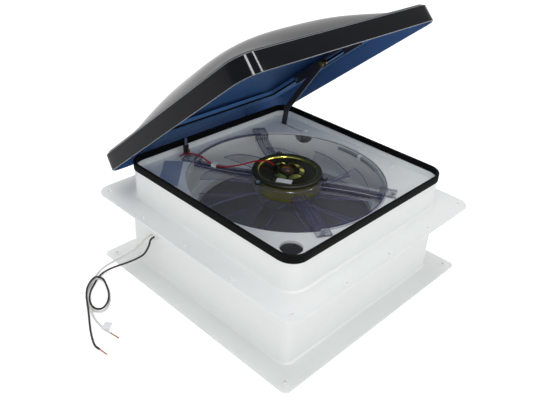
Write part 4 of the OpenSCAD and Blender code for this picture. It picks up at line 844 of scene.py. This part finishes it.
def make_floor():
    """A level floor under the vent, which glows a little for the camera alone."""
    h = FLOOR_HALF
    corners = [(-h, -h, FLOOR_Z), (h, -h, FLOOR_Z), (h, h, FLOOR_Z), (-h, h, FLOOR_Z)]
    floor = add_mesh("floor", corners, [(0, 1, 2, 3)], smooth=False)
    pale = bpy.data.materials.new("floor")
    pale.use_nodes = True
    tree = pale.node_tree
    shader = tree.nodes["Principled BSDF"]
    shader.inputs["Base Color"].default_value = (FLOOR_PALE, FLOOR_PALE, FLOOR_PALE, 1)
    shader.inputs["Roughness"].default_value = FLOOR_ROUGH
    shader.inputs["Emission Color"].default_value = (1, 1, 1, 1)
    seen = tree.nodes.new("ShaderNodeLightPath")
    glow = tree.nodes.new("ShaderNodeMath")
    glow.operation = "MULTIPLY"
    glow.inputs[1].default_value = FLOOR_GLOW
    tree.links.new(seen.outputs["Is Camera Ray"], glow.inputs[0])
    tree.links.new(glow.outputs["Value"], shader.inputs["Emission Strength"])
    floor.data.materials.append(pale)


def make_surroundings():
    """White surroundings, brighter for the camera than as light on the vent."""
    world = bpy.data.worlds.new("surroundings")
    world.use_nodes = True
    tree = world.node_tree
    back = tree.nodes["Background"]
    back.inputs["Color"].default_value = (1, 1, 1, 1)
    seen = tree.nodes.new("ShaderNodeLightPath")
    level = tree.nodes.new("ShaderNodeMapRange")
    level.inputs["To Min"].default_value = WORLD_LIGHT
    level.inputs["To Max"].default_value = WORLD_SEEN
    tree.links.new(seen.outputs["Is Camera Ray"], level.inputs["Value"])
    tree.links.new(level.outputs["Result"], back.inputs["Strength"])
    scene.world = world


def make_lamps():
    """Four soft lamps aimed at the vent, and two strips for gloss, which lie along the open lid's skirt and
    are aimed at its free corner."""
    along = np.array([0, math.sin(OPEN), math.cos(OPEN)])
    inset = -LID_W/2 + LID_R/3
    corner = lid_open(np.array([[inset, inset, (SKIRT_Z + BORDER_TOP)/2]]))[0]
    for name, place, size, power, light in LAMPS:
        data = bpy.data.lights.new(name, "AREA")
        data.shape = "RECTANGLE"
        data.size, data.size_y = size
        data.energy = power
        lamp = add_object(name, data)
        lamp.visible_glossy = light != "diffuse"
        lamp.visible_diffuse = light != "gloss"
        back = unit(np.array(place) - (corner if light == "gloss" else AIM))
        x = unit(np.cross(along, back))
        lamp.matrix_world = placing(x, np.cross(back, x), back, place)


make_floor()
make_surroundings()
make_lamps()
scene.view_settings.view_transform = "Standard"
scene.render.engine = "CYCLES"
